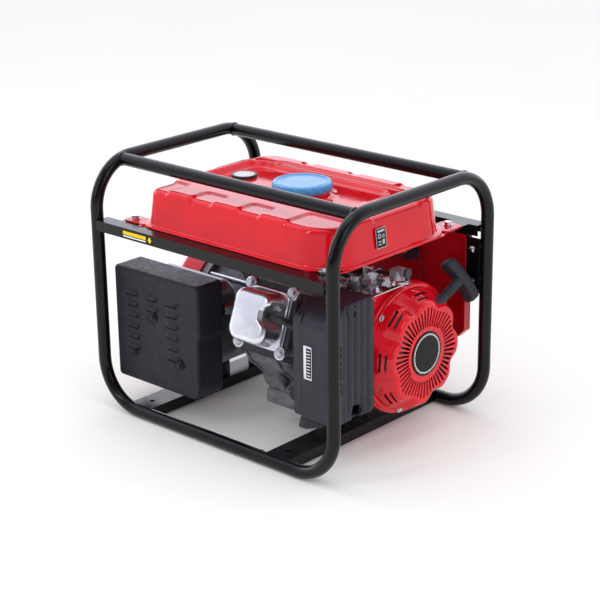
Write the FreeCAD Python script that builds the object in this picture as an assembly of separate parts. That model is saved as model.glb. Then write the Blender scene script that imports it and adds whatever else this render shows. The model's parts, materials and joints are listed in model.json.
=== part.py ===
"""Portable generator: tube frame, fuel tank, single cylinder engine, alternator and control panel.

Millimetres. Origin at the bottom centre of the frame, on the floor. +X towards the recoil starter,
-Y the side of the muffler and the valve cover, +Y the control panel, +Z up.
"""
import FreeCAD, Part
import math
import os
from FreeCAD import Vector as V

# ---- frame
tube_d = 19.0                 # outside diameter of the frame tube
tube_wall = 1.5
frame_long = 462.0            # between tube centres along X
frame_wide = 339.0            # between tube centres along Y
frame_tall = 372.5            # between tube centres along Z
bend_r = 70.0                 # centreline radius of every bend
seam_x = 92.0                 # butt weld between the two hoops, in the bottom rails
top_inset = 51.5              # top rail, in from the hoop's upright
rail_wide = 23.0              # tank rail channel, across
rail_tall = 16.0
rail_wall = 2.0
rail_top = 299.0
member_wide = 42.0            # bottom cross member, a channel open at the bottom
member_tall = 17.0
member_wall = 2.5
member_hole_r = 4.0
member_hole_inset = 23.5      # fixing hole, in from the tube's centre

# ---- tank
tank_left = -151.0
tank_right = 208.0
tank_front = -150.0
tank_back = 118.0
tank_tall = 55.0              # top half, above its lip
tank_draft = 8.0
tank_sheet = 1.2
tongue_deep = 2.0             # pressed marks along the front of the tank's top
tongue_x, tongue_step = -40.0, 91.0
lip_out = 8.0
lip_thick = 2.6
ear_x = (-178.0, 193.0)       # bolts of the left and right ears
ear_y = (-141.0, 104.0, -146.0, 126.0)   # left front, left back, right front, right back
pan_deep = 20.0               # bottom half, below its lip
filler_x, filler_y = 33.0, -9.0
neck_r = 40.0
neck_bore_r = 30.0
cap_r = 44.5
cap_tall = 11.0
gauge_x, gauge_y, gauge_r = -96.0, 5.0, 19.0
recess_deep = 8.0             # well pressed into the tank's top, round the filler and the gauge
ear_hole_r = 3.2
tank_bolt_r = 3.0
neck_rise = 2.0               # filler neck, above the tank's top
seal_thick = 1.5
cap_gap = 0.3                 # play under and over the cap's seal

# ---- engine
crank_y = 43.0
crank_z = 135.0
shaft_r = 12.5
running_gap = 0.05            # radial clearance of a shaft in its bearing
cylinder_x = 46.0
tilt = 20.0                   # cylinder axis above the horizontal, degrees
case_left, case_right = 4.0, 124.0
case_wall = 7.0
foot_z = 37.0                 # underside of the engine's feet
mount_r = 10.0                # rubber mounts under the feet
cover_seat = 153.0            # crank centre to the valve cover's gasket face
cover_bolt_x, cover_bolt_y = 40.25, 43.0
shroud_left, shroud_right = 128.0, 188.0
shroud_r = 98.0
face_x = 221.0                # outer face of the recoil cover
face_r = 75.0
face_wave = 3.6               # height of the eight lobes round the recoil cover
pulley_r = 36.0
badge_r = 33.0
slot_count = 50
slot_wide = 2.6
lobe_count, lobe_phase = 8, 0.6
fin_pitch, fin_thick = 7.0, 2.2
barrel_r = 36.0
piston_bore_r = 28.0
cover_bolt_r = 3.0
dome_rise = 42.0              # valve cover, above its gasket face
shroud_sheet = 2.0
screw_r = 2.5
fan_blades = 16
rope_r = 2.0

# ---- alternator
stator_r = 70.0
rotor_r = 52.0
stator_left, stator_right = -160.0, -52.0
end_cover_r = 82.0
end_cover_left = -219.0
through_bolt_r = stator_r + 4.2   # circle of the four long bolts
bolt_angles = (45, 135, 225, 315)

# ---- muffler side
guard_left, guard_right = -219.5, -41.5
guard_low, guard_high = 49.0, 226.0
guard_front, guard_back = -153.0, -103.0
sheet = 1.2
pipe_r, pipe_bore_r, pipe_bend = 9.0, 7.5, 14.0

# ---- air cleaner
cleaner_left, cleaner_right = 143.0, 213.0
cleaner_front, cleaner_back = -152.0, -57.0
cleaner_low, cleaner_high = 76.0, 250.0
flute_pitch, flute_r = 13.5, 4.6
intake_r, intake_bore_r = 15.0, 12.0
intake_y = cleaner_back - 24
intake_z = cleaner_high - 50
pivot_r = 2.0                 # choke spindle
governor_pivot_r = 3.0
fuel_valve_x, fuel_valve_y = 184.0, 22.0

# ---- control panel
panel_left, panel_right = -60.0, 203.0
panel_low, panel_high = 118.0, 281.0
panel_deep = 14.0
panel_sheet = 1.5
socket_spots = ((-22.0, 168.0), (44.0, 168.0))
socket_r, socket_rim_r = 20.0, 24.0
meter_x, meter_z = 8.0, 244.0
breaker_x, breaker_z = 92.0, 170.0
switch_x, switch_z = 92.0, 240.0
ground_x, ground_z = 150.0, 146.0

# ---- derived
half_x = frame_long / 2
half_y = frame_wide / 2
tube_r = tube_d / 2
low_z = tube_r
high_z = tube_r + frame_tall
rail_out = half_y + tube_r - 0.2
member_top = 19.0
X, Y, Z = V(1, 0, 0), V(0, 1, 0), V(0, 0, 1)


# ---- helpers
def box(x0, x1, y0, y1, z0, z1):
    return Part.makeBox(x1 - x0, y1 - y0, z1 - z0, V(x0, y0, z0))


def rod(x, y, z, axis, radius, length):
    return Part.makeCylinder(radius, length, V(x, y, z), axis)


def ring(x, y, z, axis, outer, inner, length):
    return rod(x, y, z, axis, outer, length).cut(rod(x, y, z, axis, inner, length))


def fuse(shapes):
    return shapes[0].fuse(shapes[1:]).removeSplitter() if len(shapes) > 1 else shapes[0]


def rect(x0, x1, y0, y1, r):
    return [(x0, y0, r), (x1, y0, r), (x1, y1, r), (x0, y1, r)]


def outline(corners, z):
    """Closed wire through corners (x, y, radius), counter-clockwise."""
    starts, mids, ends = [], [], []
    for i, (x, y, r) in enumerate(corners):
        here = V(x, y, z)
        back = (V(corners[i - 1][0], corners[i - 1][1], z) - here).normalize()
        ahead_corner = corners[(i + 1) % len(corners)]
        ahead = (V(ahead_corner[0], ahead_corner[1], z) - here).normalize()
        half = back.getAngle(ahead) / 2
        starts.append(here + back * (r / math.tan(half)))
        ends.append(here + ahead * (r / math.tan(half)))
        mids.append(here + (back + ahead).normalize() * (r / math.sin(half) - r))
    edges = []
    for i, (x, y, r) in enumerate(corners):
        if (starts[i] - ends[i - 1]).Length > 1e-6:
            edges.append(Part.makeLine(ends[i - 1], starts[i]))
        if r > 0:
            edges.append(Part.Arc(starts[i], mids[i], ends[i]).toShape())
    return Part.Wire(edges)


def prism(corners, low, high, along="z"):
    """Extrude an outline. Along x its corners are (y, z, r); along y they are (x, z, r)."""
    if along == "y":
        corners = [(z, x, r) for x, z, r in reversed(corners)]
    solid = Part.Face(outline(corners, low)).extrude(V(0, 0, high - low))
    turn = {"z": 0, "x": 120, "y": 240}[along]
    solid.rotate(V(0, 0, 0), V(1, 1, 1), turn)
    return solid


def loft(sections):
    return Part.makeLoft([outline(corners, z) for corners, z in sections], True, True)


def route(points, radius):
    """Wire of straight runs joined by tangent arcs."""
    points = [V(*p) for p in points]
    edges, last = [], points[0]
    for before, here, after in zip(points, points[1:], points[2:]):
        back, ahead = (before - here).normalize(), (after - here).normalize()
        half = back.getAngle(ahead) / 2
        start, end = here + back * (radius / math.tan(half)), here + ahead * (radius / math.tan(half))
        mid = here + (back + ahead).normalize() * (radius / math.sin(half) - radius)
        edges += [Part.makeLine(last, start), Part.Arc(start, mid, end).toShape()]
        last = end
    return Part.Wire(edges + [Part.makeLine(last, points[-1])])


def pipe(points, bend, radius):
    path = route(points, bend)
    circle = Part.makeCircle(radius, V(*points[0]), V(*points[1]) - V(*points[0]))
    return path.makePipeShell([Part.Wire(circle)], True, False)


def hose(points, bend, radius, bore):
    return pipe(points, bend, radius).cut(pipe(points, bend, bore))


def soften(shape, radius, chosen):
    """Fillet the edges that chosen(edge) picks."""
    edges = [edge for edge in shape.Edges if chosen(edge)]
    return shape.makeFillet(radius, edges) if edges else shape


def at_z(level):
    return lambda e: abs(e.BoundBox.ZMin - level) < 0.01 and abs(e.BoundBox.ZMax - level) < 0.01


def at_x(level):
    return lambda e: e.BoundBox.XLength < 0.01 and abs(e.BoundBox.XMin - level) < 0.01


def hex_head(x, y, z, axis, across, height):
    points = [V(across / math.sqrt(3) * math.cos(math.radians(60 * i)),
                across / math.sqrt(3) * math.sin(math.radians(60 * i)), 0) for i in range(7)]
    head = Part.Face(Part.makePolygon(points)).extrude(V(0, 0, height))
    head.Placement = FreeCAD.Placement(V(x, y, z), FreeCAD.Rotation(Z, axis))
    return head


def bolt(x, y, z, axis, thread_r, length, washer=True):
    """Hex bolt: the washer sits on the point, the head is out along axis, the shank goes in."""
    base = V(x, y, z)
    thick = 1.2 if washer else 0.0
    parts = [Part.makeCylinder(thread_r, length + thick, base - axis * length, axis)]
    if washer:
        parts.append(Part.makeCylinder(thread_r * 2.2, thick, base, axis))
    top = base + axis * thick
    parts.append(hex_head(top.x, top.y, top.z, axis, thread_r * 3.3, thread_r * 1.4))
    return fuse(parts)


def on_cylinder(shape):
    """Place a shape drawn with +Z along the cylinder and +Y up its side."""
    shape.rotate(V(0, 0, 0), X, 90 - tilt)
    shape.translate(V(cylinder_x, crank_y, crank_z))
    return shape


def around_crank(x, radius, degrees):
    """Point at an angle from +Y round the crank's axis."""
    angle = math.radians(degrees)
    return x, crank_y + radius * math.cos(angle), crank_z + radius * math.sin(angle)


parts = {}


# ---- frame
def hoop_points(side):
    return [(seam_x, -half_y, low_z), (side * half_x, -half_y, low_z), (side * half_x, -half_y, high_z),
            (side * half_x, half_y, high_z), (side * half_x, half_y, low_z), (seam_x, half_y, low_z)]


def make_frame():
    solid_hoops = [pipe(hoop_points(side), bend_r, tube_r) for side in (-1, 1)]
    bores = [pipe(hoop_points(side), bend_r, tube_r - tube_wall) for side in (-1, 1)]
    for name, hoop, bore in zip(("left", "right"), solid_hoops, bores):
        parts["frame_hoop_" + name] = hoop.cut(bore)
    rail_y = half_y - top_inset
    drop = bend_r - math.sqrt(bend_r ** 2 - (rail_y - (half_y - bend_r)) ** 2)
    rails = [ring(-half_x, y, high_z - drop, X, tube_r, tube_r - tube_wall, frame_long).cut(solid_hoops)
             for y in (-rail_y, rail_y)]
    parts["top_rails"] = Part.makeCompound(rails)
    end = half_x - 8.0
    rail_in = rail_out - rail_wide
    for name, side in (("front", -1), ("rear", 1)):
        low, high = sorted((side * rail_out, side * rail_in))
        rail = box(-end, end, low, high, rail_top - rail_tall, rail_top)
        rail = rail.cut(box(-end, end, low + rail_wall, high - rail_wall,
                            rail_top - rail_tall, rail_top - rail_wall))
        pieces = [rail]
        for x, y in ear_points():
            if y * side > 0:
                reach = sorted((side * rail_in, y - side * 14.0))
                tab = box(x - 15, x + 15, reach[0], reach[1], rail_top - 3.0, rail_top)
                pieces.append(tab.cut(rod(x, y, rail_top - 9, Z, ear_hole_r, 12)))
        parts["tank_rail_" + name] = fuse(pieces).cut(solid_hoops)
    members = []
    for x in (alternator_foot_x(), case_right):
        member = box(x - member_wide / 2, x + member_wide / 2, -half_y, half_y,
                     member_top - member_tall, member_top)
        hollow = box(x - member_wide / 2 + member_wall, x + member_wide / 2 - member_wall,
                     -half_y, half_y, member_top - member_tall, member_top - member_wall)
        for side in (-1, 1):
            hollow = hollow.fuse(rod(x, side * (half_y - member_hole_inset), 0, Z, member_hole_r, 30))
        members.append(member.cut(hollow).cut(solid_hoops))
    parts["cross_members"] = Part.makeCompound(members)


def alternator_foot_x():
    return stator_left + 5.0


def ear_points():
    return [(ear_x[0], ear_y[0]), (ear_x[0], ear_y[1]), (ear_x[1], ear_y[2]), (ear_x[1], ear_y[3])]


def make_mounts():
    mounts = []
    for x, y in mount_points():
        mounts.append(rod(x, y, member_top, Z, mount_r, foot_z - member_top))
    parts["rubber_mounts"] = Part.makeCompound(mounts)


def mount_points():
    x = case_right - mount_r - 1
    return [(x, -28.0), (x, 98.0), (alternator_foot_x(), 8.0), (alternator_foot_x(), 78.0)]


# ---- tank
def tank_section(inset, grow, r):
    left, right = tank_left + inset - grow, tank_right - inset + grow
    front, back = tank_front + inset - grow, tank_back - inset + grow
    return [(left, front, 22 + r), (right, front, 57 + r), (right, back, 57 + r), (left, back, 40 + r)]


def make_tank():
    lip_low = rail_top
    base = lip_low + lip_thick
    top = base + tank_tall
    inset = tank_draft * 0.7
    upper = loft([(tank_section(0, 0, 0), base), (tank_section(inset, 0, 0), top)])
    upper = soften(upper, 8.0, at_z(top))
    recess = rect(tank_left + 25, tank_right - 70, tank_front + 78, tank_back - 46, 22)
    wider = rect(tank_left + 19, tank_right - 64, tank_front + 72, tank_back - 40, 28)
    upper = upper.cut(loft([(recess, top - recess_deep), (wider, top + 0.01)]))
    for i in range(3):
        x = tongue_x + tongue_step * i
        tongue = rect(x - 21, x + 21, tank_front + 14, tank_front + 46, 8)
        upper = upper.cut(prism(tongue, top - tongue_deep, top + 1))
    inner = loft([(tank_section(tank_sheet, 0, 0), lip_low - 0.01),
                  (tank_section(inset + tank_sheet, 0, 0), top - tongue_deep - tank_sheet)])
    inner = inner.cut(loft([(wider, top - recess_deep - tank_sheet), (wider, top)]))
    lip = prism([(x, y, max(r - 14, 12)) for x, y, r in tank_section(0, lip_out, 0)], lip_low, base)
    ears = [prism(rect(x - 13, x + 32, y - 13, y + 13, 7), lip_low, base) for x, y in ear_points()[:2]]
    x, y = ear_points()[3]
    ears.append(prism(rect(x - 18, x + 18, y - 26, y + 13, 7), lip_low, base))
    neck = rod(filler_x, filler_y, top - recess_deep - 1, Z, neck_r, recess_deep + 1 + neck_rise)
    upper = fuse([upper, lip, neck] + ears)
    upper = upper.cut(inner)
    upper = upper.cut(rod(filler_x, filler_y, lip_low, Z, neck_bore_r, 80))
    gauge_seat = rod(gauge_x, gauge_y, lip_low, Z, 12.0, 80)
    upper = upper.cut(gauge_seat)
    bolts = [bolt(x, y, base, Z, tank_bolt_r, 10.0) for x, y in ear_points()]
    parts["tank_bolts"] = Part.makeCompound(bolts)
    parts["fuel_tank_upper"] = upper.cut(bolts)
    shrink = [(tank_left + 22, tank_front + 16, 20), (tank_right - 70, tank_front + 16, 20),
              (tank_right - 70, tank_back - 36, 20), (tank_left + 22, tank_back - 36, 20)]
    pan = loft([(shrink, lip_low - pan_deep), ([(x, y, r) for x, y, r in shrink], lip_low)])
    hollow = loft([([(x + (2 if x < 0 else -2), y + (2 if y < 0 else -2), r - 2) for x, y, r in shrink],
                    lip_low - pan_deep + tank_sheet),
                   ([(x + (2 if x < 0 else -2), y + (2 if y < 0 else -2), r - 2) for x, y, r in shrink],
                    lip_low + 1)])
    flange = prism([(x, y, max(r - 14, 12)) for x, y, r in tank_section(0, lip_out - 1.5, 0)],
                   lip_low - tank_sheet, lip_low)
    lower = fuse([pan, flange]).cut(hollow).cut(bolts)
    lower = lower.cut([box(x - 17, x + 17, y - 30, y + 30, 0, rail_top) for x, y in ear_points()])
    parts["fuel_tank_lower"] = lower.cut([parts["tank_rail_front"], parts["tank_rail_rear"]])
    recess_z = top - recess_deep
    parts["fuel_gauge"] = fuse([ring(gauge_x, gauge_y, recess_z, Z, gauge_r, gauge_r - 3, 4.5),
                                rod(gauge_x, gauge_y, recess_z, Z, gauge_r - 3, 1.0)])
    parts["fuel_gauge_lens"] = rod(gauge_x, gauge_y, recess_z + 3.2, Z, gauge_r - 3, 1.2)
    parts["fuel_gauge_needle"] = fuse([rod(gauge_x, gauge_y, recess_z + 1.4, Z, 2.0, 1.2),
                                       box(gauge_x - 1, gauge_x + 1, gauge_y, gauge_y + 12,
                                           recess_z + 1.5, recess_z + 2.1)])
    seat = top + neck_rise
    cap_low = seat + seal_thick + 2 * cap_gap
    crown = cap_tall - 3.0
    parts["fuel_cap_seal"] = ring(filler_x, filler_y, seat + cap_gap, Z, neck_r - 2, neck_bore_r + 1,
                                  seal_thick)
    skirt = ring(filler_x, filler_y, cap_low - 4.0, Z, cap_r, cap_r - 2.5, 4.1)
    cap = soften(rod(filler_x, filler_y, cap_low, Z, cap_r, crown), 2.5, at_z(cap_low + crown))
    parts["fuel_cap"] = fuse([cap, skirt])


# ---- engine
def make_crankcase():
    body = prism(rect(crank_y - 62, crank_y + 66, 48, crank_z + 70, 26), case_left, case_right, "x")
    body = soften(body, 6.0, lambda e: e.BoundBox.XLength < 0.1 and e.Length > 30)
    toe = prism([(crank_y - 118, foot_z + 4, 6), (crank_y, foot_z + 4, 3), (crank_y, 100, 3),
                 (crank_y - 60, 100, 10), (crank_y - 118, foot_z + 26, 10)],
                case_left + 14, case_right - 14, "x")
    feet = box(case_left + 10, case_right + 1.5, crank_y - 96, crank_y + 68, foot_z, foot_z + 12)
    feet = soften(feet, 8.0, lambda e: e.BoundBox.ZLength > 11)
    feet = feet.cut(box(case_left, case_right - 26, crank_y - 60, crank_y + 40, foot_z, foot_z + 8))
    collar = on_cylinder(prism(rect(-46, 46, -46, 46, 12), 40, 66))
    ribs = [box(x, x + 4, crank_y - 112, crank_y - 40, foot_z + 10, 92)
            for x in (case_left + 20, case_left + 42, case_left + 64, case_left + 86)]
    adapter = rod(stator_right, crank_y, crank_z, X, stator_r + 2, case_left - stator_right)
    adapter = adapter.cut(rod(stator_right, crank_y, crank_z, X, stator_r - 8, case_left - stator_right - 8))
    nose = rod(case_right, crank_y, crank_z, X, 30, shroud_left + 8 - case_right)
    case = fuse([body, toe, feet, collar, adapter, nose] + ribs)
    case = case.cut(rod(case_left + case_wall, crank_y, crank_z, X, 56,
                        case_right - case_left - 2 * case_wall))
    case = case.cut(on_cylinder(rod(0, 0, 30, Z, 29, 60)))
    case = case.cut(on_cylinder(prism(rect(-60, 60, -50, 50, 2), 66, 120)))
    case = case.cut(rod(stator_right - 5, crank_y, crank_z, X, shaft_r + running_gap, 260))
    low, axis = dip_line()
    neck = Part.makeCylinder(13.0, 29.0, low - axis * 4, axis)
    return case.fuse(neck).cut(Part.makeCylinder(9.3, 60, low, axis)).removeSplitter()


def dip_line():
    """Inner end of the oil filler's bore and the direction out of it."""
    return V(case_right - 34, crank_y - 104, foot_z + 28), V(0.0, -0.85, 0.53).normalize()


def make_engine():
    case = make_crankcase()
    fins = [prism(rect(-46, 46, -44, 44, 10), 67 + fin_pitch * i, 67 + fin_pitch * i + fin_thick)
            for i in range(6)]
    barrel = on_cylinder(fuse([rod(0, 0, 66, Z, barrel_r, 42)] + fins))
    barrel = barrel.cut(on_cylinder(rod(0, 0, 60, Z, piston_bore_r, 60)))
    parts["cylinder"] = barrel
    head_low = 108.0
    first = head_low + 2
    head_fins = [prism(rect(-50, 50, -46, 46, 10), first + fin_pitch * i, first + fin_pitch * i + fin_thick)
                 for i in range(5)]
    head = fuse([prism(rect(-38, 38, -38, 38, 10), head_low, cover_seat - 6),
                 prism(rect(-46, 46, -48, 48, 12), cover_seat - 10, cover_seat)] + head_fins)
    gasket = prism(cover_flange(), cover_seat, cover_seat + 1.2)
    cover = make_valve_cover()
    bolts = []
    for sx in (-1, 1):
        for sy in (-1, 1):
            bolts.append(bolt(sx * cover_bolt_x, sy * cover_bolt_y, cover_seat + 5.2, Z, cover_bolt_r, 14.0))
    bolts = Part.makeCompound(bolts)
    for shape in (head, gasket, cover):
        shape.Placement = FreeCAD.Placement()
    parts["cylinder_head"] = on_cylinder(head.cut(bolts))
    parts["valve_cover_gasket"] = on_cylinder(gasket.cut(bolts))
    parts["valve_cover"] = on_cylinder(cover.cut(bolts))
    parts["valve_cover_bolts"] = on_cylinder(bolts)
    parts["crankcase"] = case
    plug_base = V(4.0, crank_y - 118, crank_z + 84)
    plug_axis = V(-0.62, -0.1, 0.78).normalize()
    plug = fuse([Part.makeCylinder(5.0, 12, plug_base, plug_axis),
                 Part.makeCylinder(9.0, 6, plug_base + plug_axis * 10, plug_axis)])
    parts["spark_plug"] = plug.cut([parts["cylinder_head"], parts["valve_cover_gasket"], parts["valve_cover"],
                                     parts["valve_cover_bolts"]])
    cap_base = plug_base + plug_axis * 16
    boot = fuse([Part.makeCylinder(9.5, 20, cap_base, plug_axis),
                 Part.makeCylinder(7.0, 16, cap_base + plug_axis * 14, V(0.75, 0.66, 0))])
    parts["spark_plug_cap"] = boot
    low, axis = dip_line()
    start = low + axis * 9.0
    grip = Part.makeBox(22, 4, 9, V(-11, -2, 0))
    grip.Placement = FreeCAD.Placement(low + axis * 30.0, FreeCAD.Rotation(Z, axis))
    stick = fuse([Part.makeCylinder(9.0, 16.5, start, axis), Part.makeCylinder(2.0, 8.0, low + axis, axis),
                  Part.makeCylinder(13.0, 5.5, low + axis * 25.3, axis), grip])
    parts["oil_dipstick"] = stick


def cover_flange():
    x, y = cover_bolt_x + 9, cover_bolt_y + 9
    return rect(-x, x, -y, y, 9)


def make_valve_cover():
    z = cover_seat + 1.2
    ears = [rod(sx * cover_bolt_x, sy * cover_bolt_y, z, Z, 9, 4) for sx in (-1, 1) for sy in (-1, 1)]
    bridge = [prism(rect(-37, 37, -42, 42, 6), z, z + 4), prism(rect(-41, 41, -38, 38, 6), z, z + 4)]
    lip = prism(rect(-35, 35, -38, 38, 14), z + 4, z + 8)
    dome = loft([(rect(-32, 32, -36, 36, 15), z + 8), (rect(-27, 25, -30, 32, 14), z + dome_rise)])
    dome = soften(dome, 8.0, at_z(z + dome_rise))
    cover = fuse(ears + bridge + [lip, dome])
    hollow = loft([(rect(-29, 29, -33, 33, 12), z - 1), (rect(-24, 22, -27, 29, 11), z + dome_rise - 4)])
    return cover.cut(hollow)


def make_starter():
    outer = rod(shroud_left, crank_y, crank_z, X, shroud_r, shroud_right - shroud_left)
    duct = prism(rect(crank_y - 92, crank_y, crank_z - 52, crank_z + shroud_r - 2, 14),
                 shroud_left, shroud_right - 8, "x")
    outer = fuse([outer, duct])
    outer = soften(outer, 6.0, at_x(shroud_right))
    inner = fuse([rod(shroud_left - 1, crank_y, crank_z, X, shroud_r - shroud_sheet,
                      shroud_right - shroud_left + 1 - shroud_sheet),
                  prism(rect(crank_y - 90, crank_y, crank_z - 50, crank_z + shroud_r - 4, 12),
                        shroud_left - 1, shroud_right - 10, "x")])
    opening = rod(shroud_left, crank_y, crank_z, X, shroud_r - 14, 90)
    shroud = outer.cut(inner).cut(opening)
    back = ring(shroud_left - shroud_sheet, crank_y, crank_z, X, shroud_r, 31.0, shroud_sheet)
    bolts = [bolt(*around_crank(shroud_right + shroud_sheet, shroud_r - 9, a), X, screw_r, 8.0)
             for a in (15, 135, 255)]
    parts["small_screws"] = Part.makeCompound(bolts)
    parts["blower_shroud"] = fuse([shroud, back]).cut(bolts)
    cover = make_recoil_cover()
    parts["recoil_cover"] = cover.cut(bolts)
    parts["recoil_badge"] = rod(face_x, crank_y, crank_z, X, badge_r, 1.5)
    pulley = ring(face_x - 22, crank_y, crank_z, X, pulley_r + 6, 6 + running_gap, 12)
    groove = ring(face_x - 18.5, crank_y, crank_z, X, pulley_r + 7, pulley_r, 5)
    parts["recoil_pulley"] = pulley.cut(groove)


def lobed(x, radius, wave):
    """Closed curve round the crank's axis with eight lobes."""
    points = []
    for i in range(96):
        angle = 2 * math.pi * i / 96
        r = radius + wave * math.cos(lobe_count * angle + lobe_phase)
        points.append(V(x, crank_y + r * math.cos(angle), crank_z + r * math.sin(angle)))
    curve = Part.BSplineCurve()
    curve.interpolate(Points=points, PeriodicFlag=True)
    return Part.Wire(curve.toShape())


def recoil_skin(inset, front):
    start = shroud_right
    return Part.makeLoft([lobed(start, face_r + 15 - inset, 0.3 * face_wave),
                          lobed(start + 13, face_r + 6 - inset, 0.8 * face_wave),
                          lobed(start + 25, face_r + 2 - inset, face_wave),
                          lobed(front, face_r - 5 - inset, face_wave)], True, False)


def make_recoil_cover():
    flange = ring(shroud_right, crank_y, crank_z, X, shroud_r - 2, face_r + 4, 2.0)
    skin = recoil_skin(0, face_x)
    hollow = recoil_skin(2.2, face_x - 2.4)
    spindle = rod(face_x - 24, crank_y, crank_z, X, 6.0, 23)
    cover = fuse([flange, skin]).cut(hollow)
    slots = []
    for i in range(slot_count):
        angle = 360.0 * i / slot_count
        reach = face_r - 11 + 3.0 * math.cos(lobe_count * math.radians(angle) + lobe_phase)
        low = badge_r + 7 + (8.0 if 20 < angle < 160 else 0.0)
        slot = box(face_x - 4, face_x + 2, low, reach, -slot_wide / 2, slot_wide / 2)
        slot.rotate(V(0, 0, 0), X, angle)
        slot.translate(V(0, crank_y, crank_z))
        slots.append(slot)
    cover = cover.cut(Part.makeCompound(slots))
    guide_start, guide_axis = rope_line()
    guide = Part.makeCylinder(8.5, 24, guide_start - guide_axis * 24, guide_axis)
    bore = Part.makeCylinder(3.2, 60, guide_start - guide_axis * 50, guide_axis)
    guide = guide.cut(hollow)
    return fuse([cover, spindle, guide]).cut(bore)


def rope_line():
    """Mouth of the rope guide and the direction in which the rope leaves it."""
    return V(face_x - 16, crank_y + 58, crank_z + 65), V(0, 0.92, 0.39).normalize()


def make_handle():
    mouth, axis = rope_line()
    stem = Part.makeCone(6.0, 8.5, 36, mouth + axis * 0.6, axis)
    bar = prism(rect(-9, 9, -7, 7, 5), -34, 34)
    bar = soften(bar, 3.0, lambda e: e.BoundBox.ZLength < 0.01)
    lean = V(0.46, 0.35, -0.82).normalize()
    bar.Placement = FreeCAD.Placement(mouth + axis * 38, FreeCAD.Rotation(Z, lean))
    hole = Part.makeCylinder(rope_r + 0.3, 30, mouth, axis)
    parts["pull_handle"] = fuse([stem, bar]).cut(hole)
    parts["starter_rope"] = Part.makeCylinder(rope_r, 70, mouth - axis * 42, axis)


def make_crank_train():
    shaft = fuse([rod(end_cover_left + 34, crank_y, crank_z, X, shaft_r - 2.5, 30),
                  rod(stator_left - 4, crank_y, crank_z, X, shaft_r, case_right + 8 - stator_left),
                  rod(case_right + 4, crank_y, crank_z, X, shaft_r - 3, 40),
                  rod(case_left + 26, crank_y, crank_z, X, 36, 12),
                  rod(case_left + 52, crank_y, crank_z, X, 36, 12)])
    flywheel_x = shroud_left + 16
    wheel = fuse([rod(flywheel_x, crank_y, crank_z, X, 76, 18), rod(flywheel_x, crank_y, crank_z, X, 24, 24)])
    blades = []
    for i in range(fan_blades):
        blade = box(flywheel_x + 17, flywheel_x + 30, 46, 74, -1.2, 1.2)
        blade.rotate(V(0, 0, 0), X, 360.0 / fan_blades * i)
        blade.translate(V(0, crank_y, crank_z))
        blades.append(blade)
    cup = ring(flywheel_x + 18, crank_y, crank_z, X, 34, 31, 20)
    parts["crankshaft"] = shaft
    parts["flywheel"] = fuse([wheel, cup] + blades).cut(shaft)
    core = rod(stator_left + 8, crank_y, crank_z, X, rotor_r, stator_right - stator_left - 16)
    parts["rotor"] = core.cut(shaft)


def make_alternator():
    parts["stator"] = ring(stator_left, crank_y, crank_z, X, stator_r, rotor_r + 1.0,
                           stator_right - stator_left)
    plate_x = stator_left - 26
    bracket = rod(plate_x, crank_y, crank_z, X, stator_r + 9, 26)
    bracket = bracket.cut(rod(plate_x + 8, crank_y, crank_z, X, stator_r - 6, 18))
    foot = prism([(crank_y - 54, foot_z, 0), (crank_y + 54, foot_z, 0), (crank_y + 54, foot_z + 10, 4),
                  (crank_y + 34, 84, 4), (crank_y - 34, 84, 4), (crank_y - 54, foot_z + 10, 4)],
                 alternator_foot_x() - 18, alternator_foot_x() + 2, "x")
    foot = foot.cut(rod(plate_x - 1, crank_y, crank_z, X, stator_r - 6, 90))
    foot = foot.cut(parts["stator"])
    bracket = fuse([bracket, foot]).cut(rod(plate_x, crank_y, crank_z, X, shaft_r - 2.5 + running_gap, 20))
    bolts = []
    for angle in bolt_angles:
        x, y, z = around_crank(plate_x, through_bolt_r, angle)
        bolts.append(bolt(x, y, z, V(-1, 0, 0), 2.6, stator_right + 22 - plate_x))
    lugs = [rod(stator_right, *around_crank(0, through_bolt_r, a)[1:], X, 8.0, 20) for a in bolt_angles]
    parts["crankcase"] = fuse([parts["crankcase"]] + lugs)
    parts["crankcase"] = parts["crankcase"].cut(rod(stator_right, crank_y, crank_z, X, stator_r - 8, 20))
    parts["crankcase"] = parts["crankcase"].cut(bolts)
    parts["alternator_bracket"] = bracket.cut(bolts)
    parts["alternator_bolts"] = Part.makeCompound(bolts)
    depth = plate_x - end_cover_left
    cover = rod(end_cover_left, crank_y, crank_z, X, end_cover_r, depth + 12)
    cover = soften(cover, 9.0, lambda e: abs(e.BoundBox.XMax - end_cover_left) < 0.01)
    inside = rod(end_cover_left + 2, crank_y, crank_z, X, end_cover_r - 2, depth + 14)
    cover = cover.cut(soften(inside, 7.0, lambda e: abs(e.BoundBox.XMax - end_cover_left - 2) < 0.01))
    slots = []
    for row in range(7):
        z = crank_z - 45 + 15 * row
        half = 0.55 * math.sqrt(end_cover_r ** 2 - (z - crank_z) ** 2)
        slots.append(box(end_cover_left - 1, end_cover_left + 3, crank_y - half, crank_y + half,
                         z - 2, z + 2))
    parts["alternator_cover"] = cover.cut(slots)


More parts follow.
